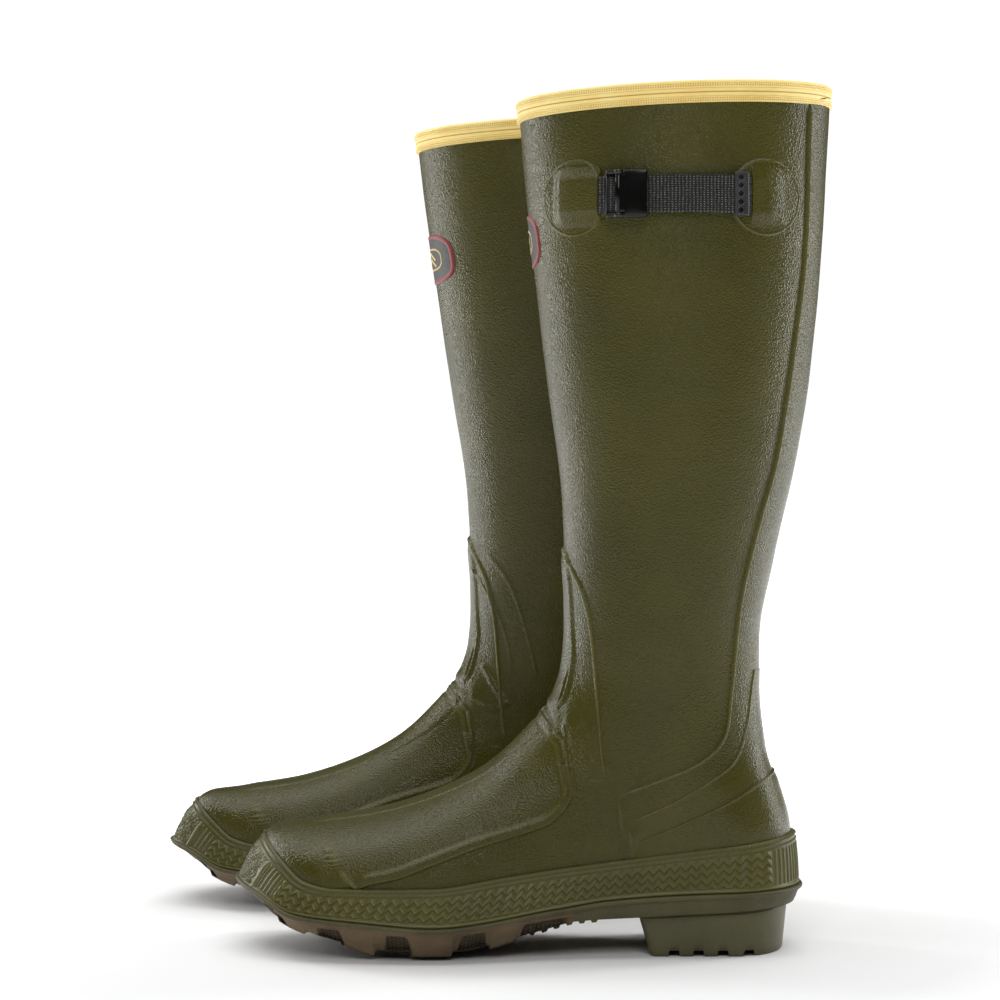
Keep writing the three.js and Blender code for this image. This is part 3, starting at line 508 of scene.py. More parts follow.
def badge_material():
    """A red rim where the mark is 0, a dark field where it is 0.5 and pale lines where it is 1."""
    n = Nodes("badge_paint")
    zone, fine = n.attribute("wear"), n.noise(900, 3)
    red = n.mix(fine, rgb(108, 34, 40), rgb(140, 52, 56))
    dark = n.mix(fine, rgb(30, 30, 24), rgb(44, 42, 32))
    pale = n.mix(fine, rgb(188, 160, 96), rgb(210, 184, 120))
    inner = n.mix(n.math("GREATER_THAN", zone, 0.75), dark, pale)
    n.bumps((fine, 0.3, 0.0003))
    colour = n.mix(n.math("GREATER_THAN", zone, 0.25), red, inner)
    return n.finish(colour, n.span(fine, 0.45, 0.6), specular=0.4)


yellow, webbing, badge_paint = binding_material(), webbing_material(), badge_material()
steel = steel_material()
gloss_black = plastic_material("gloss_black_plastic", rgb(7, 7, 6), rgb(12, 12, 11), (0.1, 0.2), 0.03, 0.3)
matte_black = plastic_material("matte_black_plastic", rgb(18, 18, 17), rgb(30, 29, 28), (0.35, 0.5), 0.3)
tip_grey = plastic_material("strap_tip_plastic", rgb(36, 36, 38), rgb(50, 50, 52), (0.36, 0.5), 0.3)
knit = knit_material("knit_lining", rgb(34, 37, 31), rgb(62, 66, 56), 190)
felt = knit_material("footbed_felt", rgb(44, 47, 40), rgb(70, 72, 62), 260)
foam = filler_material("grey_foam", rgb(128, 130, 122), rgb(160, 161, 152), 900, (0.85, 1.0))
cork = filler_material("cork_filler", rgb(104, 74, 46), rgb(154, 118, 80), 420, (0.8, 0.95))
fibre = filler_material("fibre_board", rgb(138, 124, 100), rgb(172, 158, 130), 700, (0.75, 0.9))


# ---- Outlines of the overlays in the side view, [y, z] ----
def spline(points, steps=8):
    """A smooth open line through points."""
    p = np.array([points[0], *points, points[-1]], float)
    out = []
    for i in range(len(points) - 1):
        a, b, c, d = p[i:i + 4]
        for t in np.arange(steps) / steps:
            bend, twist = 2 * a - 5 * b + 4 * c - d, 3 * b - a - 3 * c + d
            out.append(0.5 * (2 * b + (c - a) * t + bend * t ** 2 + twist * t ** 3))
    return np.array([*out, p[-1]])


def line_distance(points, line, far=12.0):
    """Distance from each point to an open line, in the plane, worked out only up to far."""
    flat = points.reshape(-1, 2)
    best = np.full(len(flat), float(far))
    near = np.flatnonzero(((flat > line.min(0) - far) & (flat < line.max(0) + far)).all(1))
    for a, b in zip(line[:-1], line[1:]):
        low, high = np.minimum(a, b) - far, np.maximum(a, b) + far
        here = near[((flat[near] > low) & (flat[near] < high)).all(1)]
        along, offset = b - a, flat[here] - a
        t = np.clip((offset @ along) / max(along @ along, 1e-9), 0, 1)
        gap = offset - t[:, None] * along
        best[here] = np.minimum(best[here], np.hypot(gap[:, 0], gap[:, 1]))
    return best.reshape(points.shape[:-1])


def inside_distance(points, polygon):
    """Distance from each point to a closed polygon's edge, positive inside it."""
    inside = np.zeros(points.shape[:-1], bool)
    x, y = points[..., 0], points[..., 1]
    for (x0, y0), (x1, y1) in zip(polygon, np.roll(polygon, -1, 0)):
        if y0 != y1:
            inside ^= ((y0 > y) != (y1 > y)) & (x < (x1 - x0) * (y - y0) / (y1 - y0) + x0)
    gap = line_distance(points, np.concatenate([polygon, polygon[:1]]))
    return np.where(inside, gap, -gap)


BEHIND, BELOW = 190, 20  # past the boot's back and its overlays' low edges
BACK_STAY_EDGE = [
    (150.6, 437), (149.9, 411), (147.3, 355), (135, 268), (123.8, 225), (115, 186), (110, 138), (106, 114),
    (92.6, 101.5), (70, 92), (50.5, 85),
]
COUNTER_EDGE = [(134, 160), (124, 152), (118.6, 120.5), (112.5, 103), (101, 93.7), (78.6, 80.7), (56, 71)]
HEEL_CUP_EDGE = [(140, 97), (128, 91.5), (108.6, 81), (82.5, 69.3), (57.7, 59)]
VAMP_EDGE = [
    (-88, 35), (-78, 39.7), (-63, 43), (-46, 49.2), (-20, 58.6), (10.6, 67.6), (20, 73), (27, 82), (28, 90),
]
ANKLE_EDGE = [(12, 222), (23, 215), (28, 204), (34.5, 189), (39, 168), (41.6, 138), (43.6, 108), (46, 92)]


TOE_SEAM = spline([(-99, 58), (-96, 52), (-91, 45), (-85, 39)])
BEND_RIDGE = spline([(24, 120), (26, 104), (28.5, 87)])
BEND_CREASES = [spline([(13, 131), (17, 124), (18, 117)]), spline([(9, 122), (14, 116)])]
SHIN_BAR = spline([(24, 214), (27, 196), (28, 172), (28.5, 153), (24, 134), (20, 129)])
SHIN_BAR_Z, SHIN_BAR_Y = (129, 153, 196, 214), (21, 28.5, 27, 24)  # ahead of this line the bar is wide
MEDIAL_LINES = [
    spline([(27, 194), (38.7, 173), (46, 152), (48, 137)]),
    spline([(35.5, 203), (47, 187.5), (55.3, 164.6), (62.6, 135.4)]),
]
MEDIAL_RIDGE = spline([(32, 138), (38, 128), (44, 118)])
MEDIAL_PAD = spline([(14, 126), (23, 118.5), (34.5, 114.5), (45, 117)])
HEEL_SEAM = spline([(50.5, 85), (52.5, 66), (56, 50)])


# ---- The pieces of one boot ----
HEEL_FRONT, HEEL_BACK, HEEL_HALF = 66.3, 141.9, 33


class Boot:
    """Where one boot stands. side is 1 for the left boot and -1 for its mirror image."""

    def __init__(self, name, side, lean):
        self.name, self.side, self.lean = name, side, lean
        low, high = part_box(f"{name}_heel_block")
        middle = 500 * (low.x + high.x)
        self.place = np.array([middle, 1000 * low.y - HEEL_FRONT, 0.0])
        self.strap_shift = lean_at(STRAP_Z, lean)

    def add(self, mesh, name, material, slot, body="boot", replaces=None):
        """Adds a piece that rides on a body, in place of its own node or of those in replaces."""
        obj = mesh.add_to(f"{self.name}_{name}", self, material)
        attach(obj, f"{self.name}_{body}")
        for node in [name] if replaces is None else replaces:
            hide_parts(f"{self.name}_{node}")


def side_view(points, boot):
    """A point's place in the side view, with the shaft's lean taken out."""
    y = points[..., 1] - lean_at(points[..., 2], boot.lean)
    return np.stack([y, points[..., 2]], -1)


def waviness(points, size, seed):
    """Gentle unevenness of a hand-laid surface, between -1 and 1."""
    rng = np.random.default_rng(seed)
    total = 0
    for k in range(6):
        direction = rng.normal(size=3)
        direction *= 2 * np.pi / (size * (0.6 + 0.25 * k)) / np.linalg.norm(direction)
        total = total + np.sin(points @ direction + rng.uniform(0, 6.28)) / 6
    return total


def hand_laid(points):
    """Height of the rubber's broad and small unevenness, in millimetres."""
    return 0.28 * waviness(points, 70, 4) + 0.05 * waviness(points, 17, 9)


def bend_relief(points, at):
    """Folds and moulded bars where the foot turns into the leg."""
    medial = points[..., 0] < 0
    bar_gap = line_distance(at, SHIN_BAR)
    ahead = at[..., 0] < np.interp(at[..., 1], SHIN_BAR_Z, SHIN_BAR_Y)
    bar = np.where(ahead, smoothstep(1 - bar_gap / 11), smoothstep(1 - bar_gap / 1.6))
    relief = 1.3 * bar * ramp(at[..., 1], 126, 6) * fall(at[..., 1], 216, 14)
    relief += 0.9 * bump(line_distance(at, BEND_RIDGE), 2.4) * ~medial
    for crease in BEND_CREASES:
        relief -= 0.6 * bump(line_distance(at, crease), 2.0)
    for line in MEDIAL_LINES:
        relief += 0.55 * bump(line_distance(at, line), 1.3) * medial
    relief += 0.9 * bump(line_distance(at, MEDIAL_RIDGE), 2.6) * medial
    return relief + 0.8 * bump(line_distance(at, MEDIAL_PAD), 3.4) * medial


def make_upper(boot):
    """The rubber shell of foot and leg in one. A skirt runs down behind the foxing."""
    foot_rows = np.linspace(LOW_ROW, ANKLE_ROW, 130, endpoint=False)
    rows = np.concatenate([foot_rows, np.linspace(ANKLE_ROW, HIGH_ROW, 230)])
    points, out = upper_grid(turn(UPPER_SIDES), rows, boot.lean)
    at = side_view(points, boot)
    relief = hand_laid(points)
    relief += bend_relief(points, at) - 0.35 * bump(line_distance(at, HEEL_SEAM), 0.8)
    outer = points + out * relief[..., None]
    skirt = outer[:1] - [0, 0, SKIRT]
    inner, inner_out = upper_grid(turn(UPPER_SIDES), np.linspace(HIGH_ROW, LOW_ROW, 60), boot.lean)
    inner = inner - inner_out * RUBBER
    mesh = Mesh().grid(np.concatenate([skirt, outer, inner]), wrap=True)
    boot.add(mesh, "upper", olive, replaces=["foot_shell", "leg_shell"], slot="rubber")


HIDDEN = -0.45  # level of an overlay's far parts, under the upper's surface


def make_overlay(boot, name, edge, corners, height, rows, reach, shine=0.5, material=olive, extra=None):
    """A rubber overlay on the upper. It steps up along its edge and thins away behind it over reach.

    The edge is a line in the side view, and the corners close it round the overlay's own side.
    """
    points, out = upper_grid(turn(OVERLAY_SIDES), rows, boot.lean)
    at = side_view(points, boot)
    line = spline(edge)
    inside = inside_distance(at, np.concatenate([line, np.array(corners, float)]))
    gap = line_distance(at, line, reach)
    from_start, from_end = (np.linalg.norm(at - end, axis=-1) for end in (line[0], line[-1]))
    lead = ramp(from_end, 1, 9) * ramp(from_start, 0, 9)
    fade = smoothstep(1 - gap / reach) * (0.25 + 0.75 * lead)
    base = hand_laid(points) + bend_relief(points, at)
    level = (height - HIDDEN) * ramp(inside, -0.7, 1.5) * fade + HIDDEN
    level += 0.6 * bump(inside - 0.9, 0.8) * fade
    # Painted highlight along the overlay's raised edge, as strong as shine.
    wear = shine * bump(inside - 0.8, 0.7) * fade
    if extra:
        more, glint = extra(points, at, inside)
        level, wear = level + more, np.maximum(wear, glint)
    shown = (level > HIDDEN + 0.1) & (inside > -1.2)
    mesh = Mesh().grid(points + out * (base + level)[..., None], wrap=True, wear=wear, keep=shown)
    boot.add(mesh, name, material, slot="rubber")


def vamp_detail(points, at, inside):
    """A bead inside the vamp's edge, a raised strip along the crest and the toe cap's seam."""
    y, z = at[..., 0], at[..., 1]
    low = fall(y, 32, 10) * ramp(y, -86, 8)
    bead = bump(inside - 3.4, 3.6) * low * (z < 100)
    off_ridge = np.abs(points[..., 0] - ridge_x(y))
    length = ramp(y, -112, 12) * fall(y, 20, 14)
    strip = fall(off_ridge, 13 + 0.07 * (y + 100), 2.2) * length
    cap = bump(line_distance(at, TOE_SEAM), 1.9)
    # Painted highlights inside the bead and along the toe cap's seam.
    glint = np.maximum(0.4 * bump(inside - 4.8, 1.6) * low, 0.9 * cap)
    return 1.6 * bead + 0.5 * strip + 1.1 * cap, glint


def make_overlays(boot):
    leg = np.concatenate([[LOW_ROW], np.linspace(62, 446, 560)])
    foot = np.concatenate([[LOW_ROW], np.linspace(60.4, 165, 330)])
    ankle = np.linspace(80, 240, 330)

    def rear(front, top):
        return [(front, BELOW), (BEHIND, BELOW), (BEHIND, top)]

    over_toe = [(24, 112), (10, 128), (-40, 150), (-160, 120), (-160, 36)]
    over_shin = [(20, 90), (-30, 90), (-30, 222)]
    back_edge = [(151.2, 448), *BACK_STAY_EDGE]
    make_overlay(boot, "back_stay", back_edge, rear(58, 460), 1.1, leg, 34, 0.9)
    make_overlay(boot, "heel_counter", COUNTER_EDGE, rear(62, 160), 0.8, foot, 40, 0.6, smooth_olive)
    make_overlay(boot, "heel_cup", HEEL_CUP_EDGE, rear(66, 97), 1.1, foot, 60, 0.25, smooth_olive)
    make_overlay(boot, "ankle_overlay", ANKLE_EDGE, over_shin, 0.7, ankle, 16, 0.9)
    make_overlay(boot, "vamp_overlay", VAMP_EDGE, over_toe, 0.9, foot, 90, extra=vamp_detail)


def run_along(points):
    """Length along an open line up to each of its points."""
    return np.concatenate([[0], np.cumsum(np.linalg.norm(np.diff(points, axis=0), axis=-1))])


def arc_length(points):
    """Length along a closed line up to each of its points, and all round."""
    step = np.linalg.norm(np.roll(points, -1, 0) - points, axis=-1)
    return np.concatenate([[0], np.cumsum(step)[:-1]]), step.sum()


def foxing_rows(angles, v):
    """Points and outward directions of the plain band, from the outsole (v = 0) to its top (v = 1)."""
    top, top_out = upper_grid(angles, np.array([LOW_ROW]), 0)
    foot, foot_out = outline(angles, 0.0)
    foot[:, 2] = sole_top(foot[:, 1])
    v = v[..., None]
    return foot * (1 - v) + top[0] * v, unit(foot_out * (1 - v) + top_out[0] * v)


ROPE_PITCH, ROPE_AT, ROPE_BAND = 1.25, (0.8, 3.4), 5.4  # beaded cords, measured down from the top edge
ZIGZAG, ZIGZAG_ROW, ZIGZAG_TALL, ZIGZAG_SLOPE = 5.8, 4.3, 2.9, 0.82
TOE_RIB, TOE_EDGE, TOE_PLAIN, HEEL_RIBS = -138.6, -136.5, -129, 131
RIB_PITCH, FOXING_OUT, FOXING_THINS, FOXING_BELLY, FOXING_SIDES = 3.1, 3.0, 0.7, 0.35, 3000
GUARD_LOW, GUARD_HIGH = 0.02, 0.93  # shares of the foxing's height that the toe guard covers


def toe_taper(y, v):
    """How much thinner the foxing grows towards its top edge round the toe."""
    return 1.1 * ramp(v, 0.5, 0.5) * fall(y, -116, 16)


def make_foxing(boot):
    """The band round the foot: two beaded cords over a field of zigzags, ribbed at both ends."""
    angles = turn(FOXING_SIDES)
    foot, foot_out = foxing_rows(angles, np.zeros((1, FOXING_SIDES)))
    top, top_out = foxing_rows(angles, np.ones((1, FOXING_SIDES)))
    tall = np.linalg.norm(top[0] - foot[0], axis=-1)[None]
    upper = np.linspace(0, ROPE_BAND, 27)[:, None] + 0 * tall
    lower = np.linspace(0.02, 1, 64)[:, None] * (tall - ROPE_BAND) + ROPE_BAND
    below = np.concatenate([upper, lower])[::-1]
    v = 1 - below / tall
    s, total = arc_length(foot[0])
    y = foot[..., 1] + 0 * v
    side_run = np.minimum(s, total - s)[None]
    turns = round(total / ROPE_PITCH)
    rope = 0.55 + 0.45 * np.cos(2 * np.pi * s[None] * turns / total)
    strands = sum(bump(below - at, 0.75) for at in ROPE_AT)
    furrows = sum(bump(below - at - 1.1, 0.5) for at in ROPE_AT)
    zigs = total / 2 / round(total / 2 / ZIGZAG)
    turned = (side_run / zigs) % 1
    zigzag = np.abs(turned - 0.5) * 2 * ZIGZAG_TALL
    phase = ((below - 5.6 + zigzag) / ZIGZAG_ROW) % 1
    scale = np.where(phase < ZIGZAG_SLOPE, phase / ZIGZAG_SLOPE, (1 - phase) / (1 - ZIGZAG_SLOPE))
    field = ramp(below, 4.9, 0.6) * fall(below, tall - 2.6, 0.6)
    along = ramp(y, TOE_PLAIN, 1.0) * fall(y, HEEL_RIBS, 1.0)
    end_ribs = ramp(y, HEEL_RIBS, 1.0) + 0.6 * fall(y, TOE_PLAIN, 1.0)
    ribs = bump((side_run / RIB_PITCH) % 1 - 0.5, 0.3) * end_ribs
    relief = 0.75 * strands * rope + 0.95 * scale * field * along + 0.6 * ribs * field
    foot_bead = bump(tall - below - 1.3, 1.4)
    relief = relief + 0.8 * foot_bead
    points, out = foxing_rows(angles, v)
    level = FOXING_OUT - FOXING_THINS * v + FOXING_BELLY * np.sin(np.pi * v) - toe_taper(y, v)
    level = level - 0.4 * smoothstep(1 - below / 0.35)
    face = points + out * (level + relief)[..., None]
    lip = top - top_out * 0.5 + [0, 0, 0.1]
    toward_toe = fall(y, -20, 60)
    # Painted highlight on the foot bead, cord beads and zigzag steps; painted shade under the cords and
    # steps.
    dashes = (scale > 0.72) * (turned < 0.5) * (0.25 + 0.75 * toward_toe)
    wear = 0.6 * foot_bead + 0.9 * strands * np.maximum(rope - 0.35, 0) + 0.9 * dashes * field * along
    wear = wear - 0.55 * furrows - (0.8 - 0.4 * toward_toe) * (phase < 0.12) * field * along
    wear = np.concatenate([0 * wear[:1], wear, 0 * wear[:1]])
    under = foot - foot_out * 0.5 + [0, 0, 0.2]
    mesh = Mesh().grid(np.concatenate([under, face, lip]), wrap=True, wear=wear)
    boot.add(mesh, "foxing", foxing_olive, slot="foxing")


def make_toe_guard(boot):
    """A second layer over the toe: pebbled rubber that ends in an upright rib on each side."""
    angles = np.linspace(-0.95, 0.95, 760)
    v = np.linspace(GUARD_LOW, GUARD_HIGH, 90)[:, None] + 0 * angles
    points, out = foxing_rows(angles, v)
    foot, _ = foxing_rows(angles, 0 * v[:1])
    y = foot[..., 1]
    s = run_along(foot[0])[None]
    rise = v * 24
    worm = np.sin(s * 2.3 + 1.6 * np.sin(rise * 1.9)) * np.sin(rise * 2.6 + 1.4 * np.sin(s * 1.6))
    zone = fall(y, TOE_RIB - 1.0, 0.8)
    rib = bump(y - TOE_RIB, 0.8)
    edge = fall(y, TOE_EDGE, 0.9) * ramp(v, GUARD_LOW, 0.05) * fall(v, GUARD_HIGH, 0.3)
    lift = 1.6 - toe_taper(y, v) + (1.9 + 0.55 * np.maximum(worm, -0.3) * zone + 0.5 * rib) * edge
    # Painted highlight on the rib and on the crests of the worm pattern.
    wear = 0.9 * rib * edge + 0.5 * np.maximum(worm, 0) * zone
    shown = np.broadcast_to(y < TOE_EDGE + 1, v.shape)
    mesh = Mesh().grid(points + out * lift[..., None], wear=wear, keep=shown)
    boot.add(mesh, "toe_guard", foxing_olive, slot="foxing")


# ---- Sole ----
LUGS = [(-141, 9), (-117, 21), (-83, 24), (-45, 28), (-8, 20)]  # rows from the toe: middle and length
LUG_INNER, LUG_OUTER, LUG_SLANT, LUG_TAPER = 16, 60, 5, 2
CHEVRON_HALF, CHEVRON_POINT, CHEVRON_AHEAD = 11, 5, 8
TREAD_END, ARCH_BLEND = 24, 26  # the tread gives way to the plain arch over this length
ARCH_RIBS, ARCH_RIB_PITCH, ARCH_RIB_TALL = (6, 42), 6.5, 1.3


def lug_polygons():
    """Plans of the lugs: a pair at the sides of every row, and a chevron between all but the first."""
    out = []
    for i, (y, length) in enumerate(LUGS):
        front, back = y - length / 2, y + length / 2
        for side in (1, -1):
            inner, outer = side * LUG_INNER, side * LUG_OUTER
            out.append([(inner, front), (outer, front + LUG_SLANT), (outer, back - LUG_TAPER),
                        (inner, back - LUG_SLANT - LUG_TAPER)])
        if i > 0:
            tip, tail = front - CHEVRON_AHEAD, front + LUG_TAPER
            out.append([(-CHEVRON_HALF, tip), (0, tip - CHEVRON_POINT), (CHEVRON_HALF, tip),
                        (CHEVRON_HALF, tail), (0, tail - CHEVRON_POINT), (-CHEVRON_HALF, tail)])
    return [np.array(p, float) for p in out]


GAP_DEPTH, WALL_GAP, LUG_FLARE = 3.0, 2.6, 0.2
RIM_TALL, RIM_BEAD, WALL_SLOPE, ARCH_SLOPE = 2.2, 1.5, 0.6, 0.2
EDGE_RISE, EDGE_REACH = 3.0, 15.0  # the tread turns up this much within this reach of its edge
RIM_OUT = FLANGE - 1.4
WALL_SIDES, WALL_ROWS = 2600, 46


def sole_inset(y):
    """How far the outsole's side wall leans in by the time it reaches the tread."""
    ahead = fall(y, TREAD_END, ARCH_BLEND)
    tall = sole_top(y) - np.minimum(tread(y), sole_under(y)) - RIM_TALL
    return tall * (WALL_SLOPE * ahead + ARCH_SLOPE * (1 - ahead))


def make_outsole(boot):
    """The underside with its lugs, then the wall round it, up to a rim that the foxing covers."""
    rows, across = 760, 150
    angle = np.linspace(0.0, np.pi, rows)
    right, right_out = outline(angle, RIM_OUT)
    left, left_out = outline(-angle, RIM_OUT)
    right = right - right_out * sole_inset(right[:, 1])[:, None]
    left = left - left_out * sole_inset(left[:, 1])[:, None]
    k = np.linspace(0, 1, across)[None, :, None]
    under = left[:, None] * (1 - k) + right[:, None] * k
    x, y = under[..., 0], under[..., 1]
    lug = np.full(x.shape, -1e9)
    for shape in lug_polygons():
        lug = np.maximum(lug, inside_distance(under[..., :2], shape))
    ahead = fall(y, TREAD_END, ARCH_BLEND)
    from_edge = np.minimum(k, 1 - k)[..., 0] * (right - left)[:, :1]
    rise = EDGE_RISE * np.clip(1 - from_edge / EDGE_REACH, 0, 1) ** 2 * ahead
    ground = np.minimum(tread(y), sole_under(y)) + rise
    plain = sole_under(y)
    gap_floor = np.minimum(ground + GAP_DEPTH, np.maximum(plain, ground)) * ahead + plain * (1 - ahead)
    up = smoothstep(lug / 1.6 + 0.6) * (y < 22)
    dots = 0.5 + 0.5 * np.sin(x * 3.2) * np.sin(y * 3.2)
    ribs = ramp(np.cos(2 * np.pi * y / ARCH_RIB_PITCH), -0.2, 0.6)
    ribs = ribs * (y > ARCH_RIBS[0]) * (y < ARCH_RIBS[1])
    level = gap_floor + (ground - gap_floor) * up - 0.5 * dots * (1 - up) * ahead
    under[..., 2] = level - ARCH_RIB_TALL * ribs * ramp(np.abs(x - ridge_x(y)), 12, 4)
    mesh = Mesh()
    # Marks: painted shade on the floor between the lugs, and the rim's green on the arch.
    mesh.grid(under, flip=True, wear=0.75 * (1 - up) * ahead - (1 - ahead))

    # The wall: a thin rim under the foxing, then lugs that lean in, with dotted hollows between them.
    edge, out = outline(turn(WALL_SIDES), RIM_OUT)
    low_y = edge[:, 1]
    inset = sole_inset(low_y)
    bottom_y = (edge - out * inset[:, None])[:, 1]
    low = np.where(out[:, 0] > 0, np.interp(bottom_y, y[:, -1], under[:, -1, 2]),
                   np.interp(bottom_y, y[:, 0], under[:, 0, 2]))
    high = sole_top(low_y)
    t = np.linspace(0, 1, WALL_ROWS)[:, None] ** 1.1
    z = high * (1 - t) + (low + 0 * high) * t
    drop = high - z
    rim = RIM_BEAD * rounding(drop + 0.05, 1.1) * fall(drop, RIM_TALL + 1.4, 2.0)
    row_gap = np.full(WALL_SIDES, 1e9)
    for row, length in LUGS:
        row_gap = np.minimum(row_gap, np.abs(low_y - row - 1.5) - length / 2 + 2.0)
    flare = LUG_FLARE * np.maximum(z - tread(low_y), 0)
    forward = fall(low_y, 30, 8)
    hollow = smoothstep((row_gap - flare) / 1.8 + 0.3) * forward * ramp(drop, RIM_TALL + 2.4, 1.6)
    s, total = arc_length(edge)
    stipple = (0.5 + 0.5 * np.sin(s * 3.0)) * (0.5 + 0.5 * np.sin(z * 3.4 + 1.6 * np.sin(s * 1.5)))
    lean_in = inset * np.clip((drop - RIM_TALL) / np.maximum(high - low - RIM_TALL, 0.1), 0, 1)
    uneven = waviness(np.stack([0 * z, low_y + 0 * z, 3 * z], -1), 12, 3) * (drop > RIM_TALL + 1)
    reach = rim - lean_in - WALL_GAP * hollow + 0.5 * stipple * hollow - 0.35 * uneven
    wall = edge + out * reach[..., None]
    wall[..., 2] = z
    wall[-1] = edge - out * inset[:, None]
    wall[-1, :, 2] = low + 0.05
    top = edge - out * 5.0
    top[:, 2] = high - 0.2
    # Marks: painted shade in the hollows between the lugs, and green on the rim and behind the tread.
    rim_share = np.maximum(fall(drop, RIM_TALL + 0.6, 1.2), 1 - forward)
    wear = 0.85 * hollow * (1 - stipple) - rim_share
    wear = np.concatenate([wear[::-1], 0 * wear[:1]])
    mesh.grid(np.concatenate([wall[::-1], top[None]]), wrap=True, wear=wear)
    boot.add(mesh, "outsole", sole_rubber, slot="outsole")


HEEL_CORNER, HEEL_OVAL = 4.0, 0.92


def heel_outline(inset, count):
    """The heel block's plan: straight breast with rounded corners, round back."""
    half, corner = HEEL_HALF - inset, HEEL_CORNER
    front, back, long = HEEL_FRONT + inset, HEEL_BACK - inset, HEEL_OVAL * half

    def arc(x, y, wide, long, start, end, steps):
        """Quarter turns from start to end."""
        a = np.linspace(start, end, steps) * np.pi / 2
        return np.stack([x + wide * np.cos(a), y + long * np.sin(a)], -1)

    breast = np.array([(0, front)])
    path = np.concatenate([
        breast, arc(half - corner, front + corner, corner, corner, -1, 0, 8),
        arc(0, back - long, half, long, 0, 2, 40),
        arc(corner - half, front + corner, corner, corner, 2, 3, 8), breast,
    ])
    run = run_along(path)
    at = np.linspace(0, run[-1], count, endpoint=False)
    return np.stack([np.interp(at, run, path[:, 0]), np.interp(at, run, path[:, 1])], -1)


HEEL_GROOVES, GROOVE_HALF, GROOVE_DEPTH = (81, 93.8, 106.6, 120.3), 2.8, 3.2


def heel_groove(y):
    return np.max([smoothstep((GROOVE_HALF - np.abs(y - g)) / 0.7 + 0.5) for g in HEEL_GROOVES], axis=0)


# The heel block's wall from the ground up: how far it lies in, and the share of its height.
HEEL_PROFILE = [
    (1.1, 0.0), (0.45, 0.02), (0.1, 0.05), (0, 0.12), (-0.1, 0.3), (-0.2, 0.5), (-0.3, 0.7), (-0.35, 0.86),
    (-0.3, 0.9), (0.35, 0.915), (0.35, 0.94), (-0.5, 0.955), (-0.6, 1.0),
]
BREAST_SLANT, BACK_SLANT, SLANT_REACH = 6.2, 2.2, 14
SPLIT_X, SPLIT_DEPTH, SPLIT_HALF, SPLIT_FROM, SPLIT_TO = 11, 2.2, 1.6, 72, 126


def make_heel(boot):
    count = 700
    mesh = Mesh()
    rings = []
    for inset, t in HEEL_PROFILE:
        plan = heel_outline(inset, count)
        slant = np.clip((HEEL_FRONT + SLANT_REACH - plan[:, 1]) / SLANT_REACH, 0, 1)
        back = np.clip((plan[:, 1] - HEEL_BACK + SLANT_REACH) / SLANT_REACH, 0, 1)
        tall = sole_under(plan[:, 1]) + 1.2
        y = plan[:, 1] - BREAST_SLANT * (t - 0.4) * slant + BACK_SLANT * (t - 0.6) * back
        z = t * tall
        z = np.where(z < GROOVE_DEPTH, z + (GROOVE_DEPTH - z) * heel_groove(y), z)
        rings.append(np.stack([plan[:, 0], y, z], -1))
    mesh.grid(np.array(rings), wrap=True)

    # The underside: rows of square studs, split by two grooves that run along the foot.
    edge = rings[0]
    right = edge[:count // 2]
    right = right[np.argmax(right[:, 1] > right[0, 1] + 0.01) - 1:]
    k = np.linspace(-1, 1, 130)[None, :]
    x, y = right[:, :1] * k, right[:, 1:2] + 0 * k
    under = np.stack([x, y, 0 * x], -1)
    split = smoothstep((SPLIT_HALF - np.abs(np.abs(x) - SPLIT_X)) / 0.7 + 0.5)
    split = SPLIT_DEPTH * split * (y < SPLIT_TO) * ramp(y, SPLIT_FROM, 1.0)
    under[..., 2] = np.maximum(GROOVE_DEPTH * heel_groove(y), split)
    mesh.grid(under, flip=True)
    boot.add(mesh, "heel_block", heel_rubber, slot="heel")


# ---- Collar, inner layers, badge ----
BINDING_LOW, BINDING_HIGH, BINDING_RISE, BINDING_CROWN = 438.6, 448, 1.2, 1.3
BINDING_OUT, BINDING_DEPTH, BINDING_SIDES = 1.15, RUBBER + INSULATION + LINING + 1.8, 1500
BEAD_PITCH, BEAD_LINES = 1.25, (0.09, 0.2, 0.8, 0.91)


def make_binding(boot):
    """The tape round the collar: a ribbed outer face, a rounded top and a plain face inside."""
    outer = np.linspace(BINDING_LOW, BINDING_HIGH, 56)
    points, out = upper_grid(turn(BINDING_SIDES), outer, boot.lean)
    t = np.linspace(0, 1, len(outer))[:, None]
    s, total = arc_length(points[0])
    beads = np.cos(2 * np.pi * s[None] / (total / round(total / BEAD_PITCH)))
    lines = sum(bump(t - c, 0.062) for c in BEAD_LINES)
    groove = bump(t - 0.5, 0.05) + 0.5 * bump(t - 0.3, 0.03) + 0.5 * bump(t - 0.7, 0.03)
    relief = BINDING_OUT * smoothstep(t / 0.05) + 0.55 * lines * (0.7 + 0.3 * beads) - 0.35 * groove
    face = points + out * relief[..., None]
    face[..., 2] += BINDING_RISE * t
    level_out = unit(out[-1] * [1, 1, 0])
    inside = []
    for a in np.linspace(0.15, 1, 14) * np.pi:
        reach = BINDING_OUT + (BINDING_DEPTH + BINDING_OUT) * (math.cos(a) - 1) / 2
        up = BINDING_RISE + BINDING_CROWN * math.sin(a)
        inside.append(points[-1] + level_out * reach + [0, 0, up])
    inside += [inside[-1] - np.array([0, 0, drop]) for drop in (1, 3, 6, 9, 10)]
    inside.append(inside[-1] + level_out * 1.0)
    rings = np.concatenate([points[:1] - out[:1] * 0.5, face, np.array(inside)])
    wear = np.zeros(rings.shape[:2])
    # Painted shade, brown, in the grooves and between the beads.
    wear[1:1 + len(outer)] = 0.85 * groove + 0.8 * lines * (0.5 - 0.5 * beads)
    boot.add(Mesh().grid(rings, wrap=True, wear=wear), "collar_binding", yellow, slot="binding")


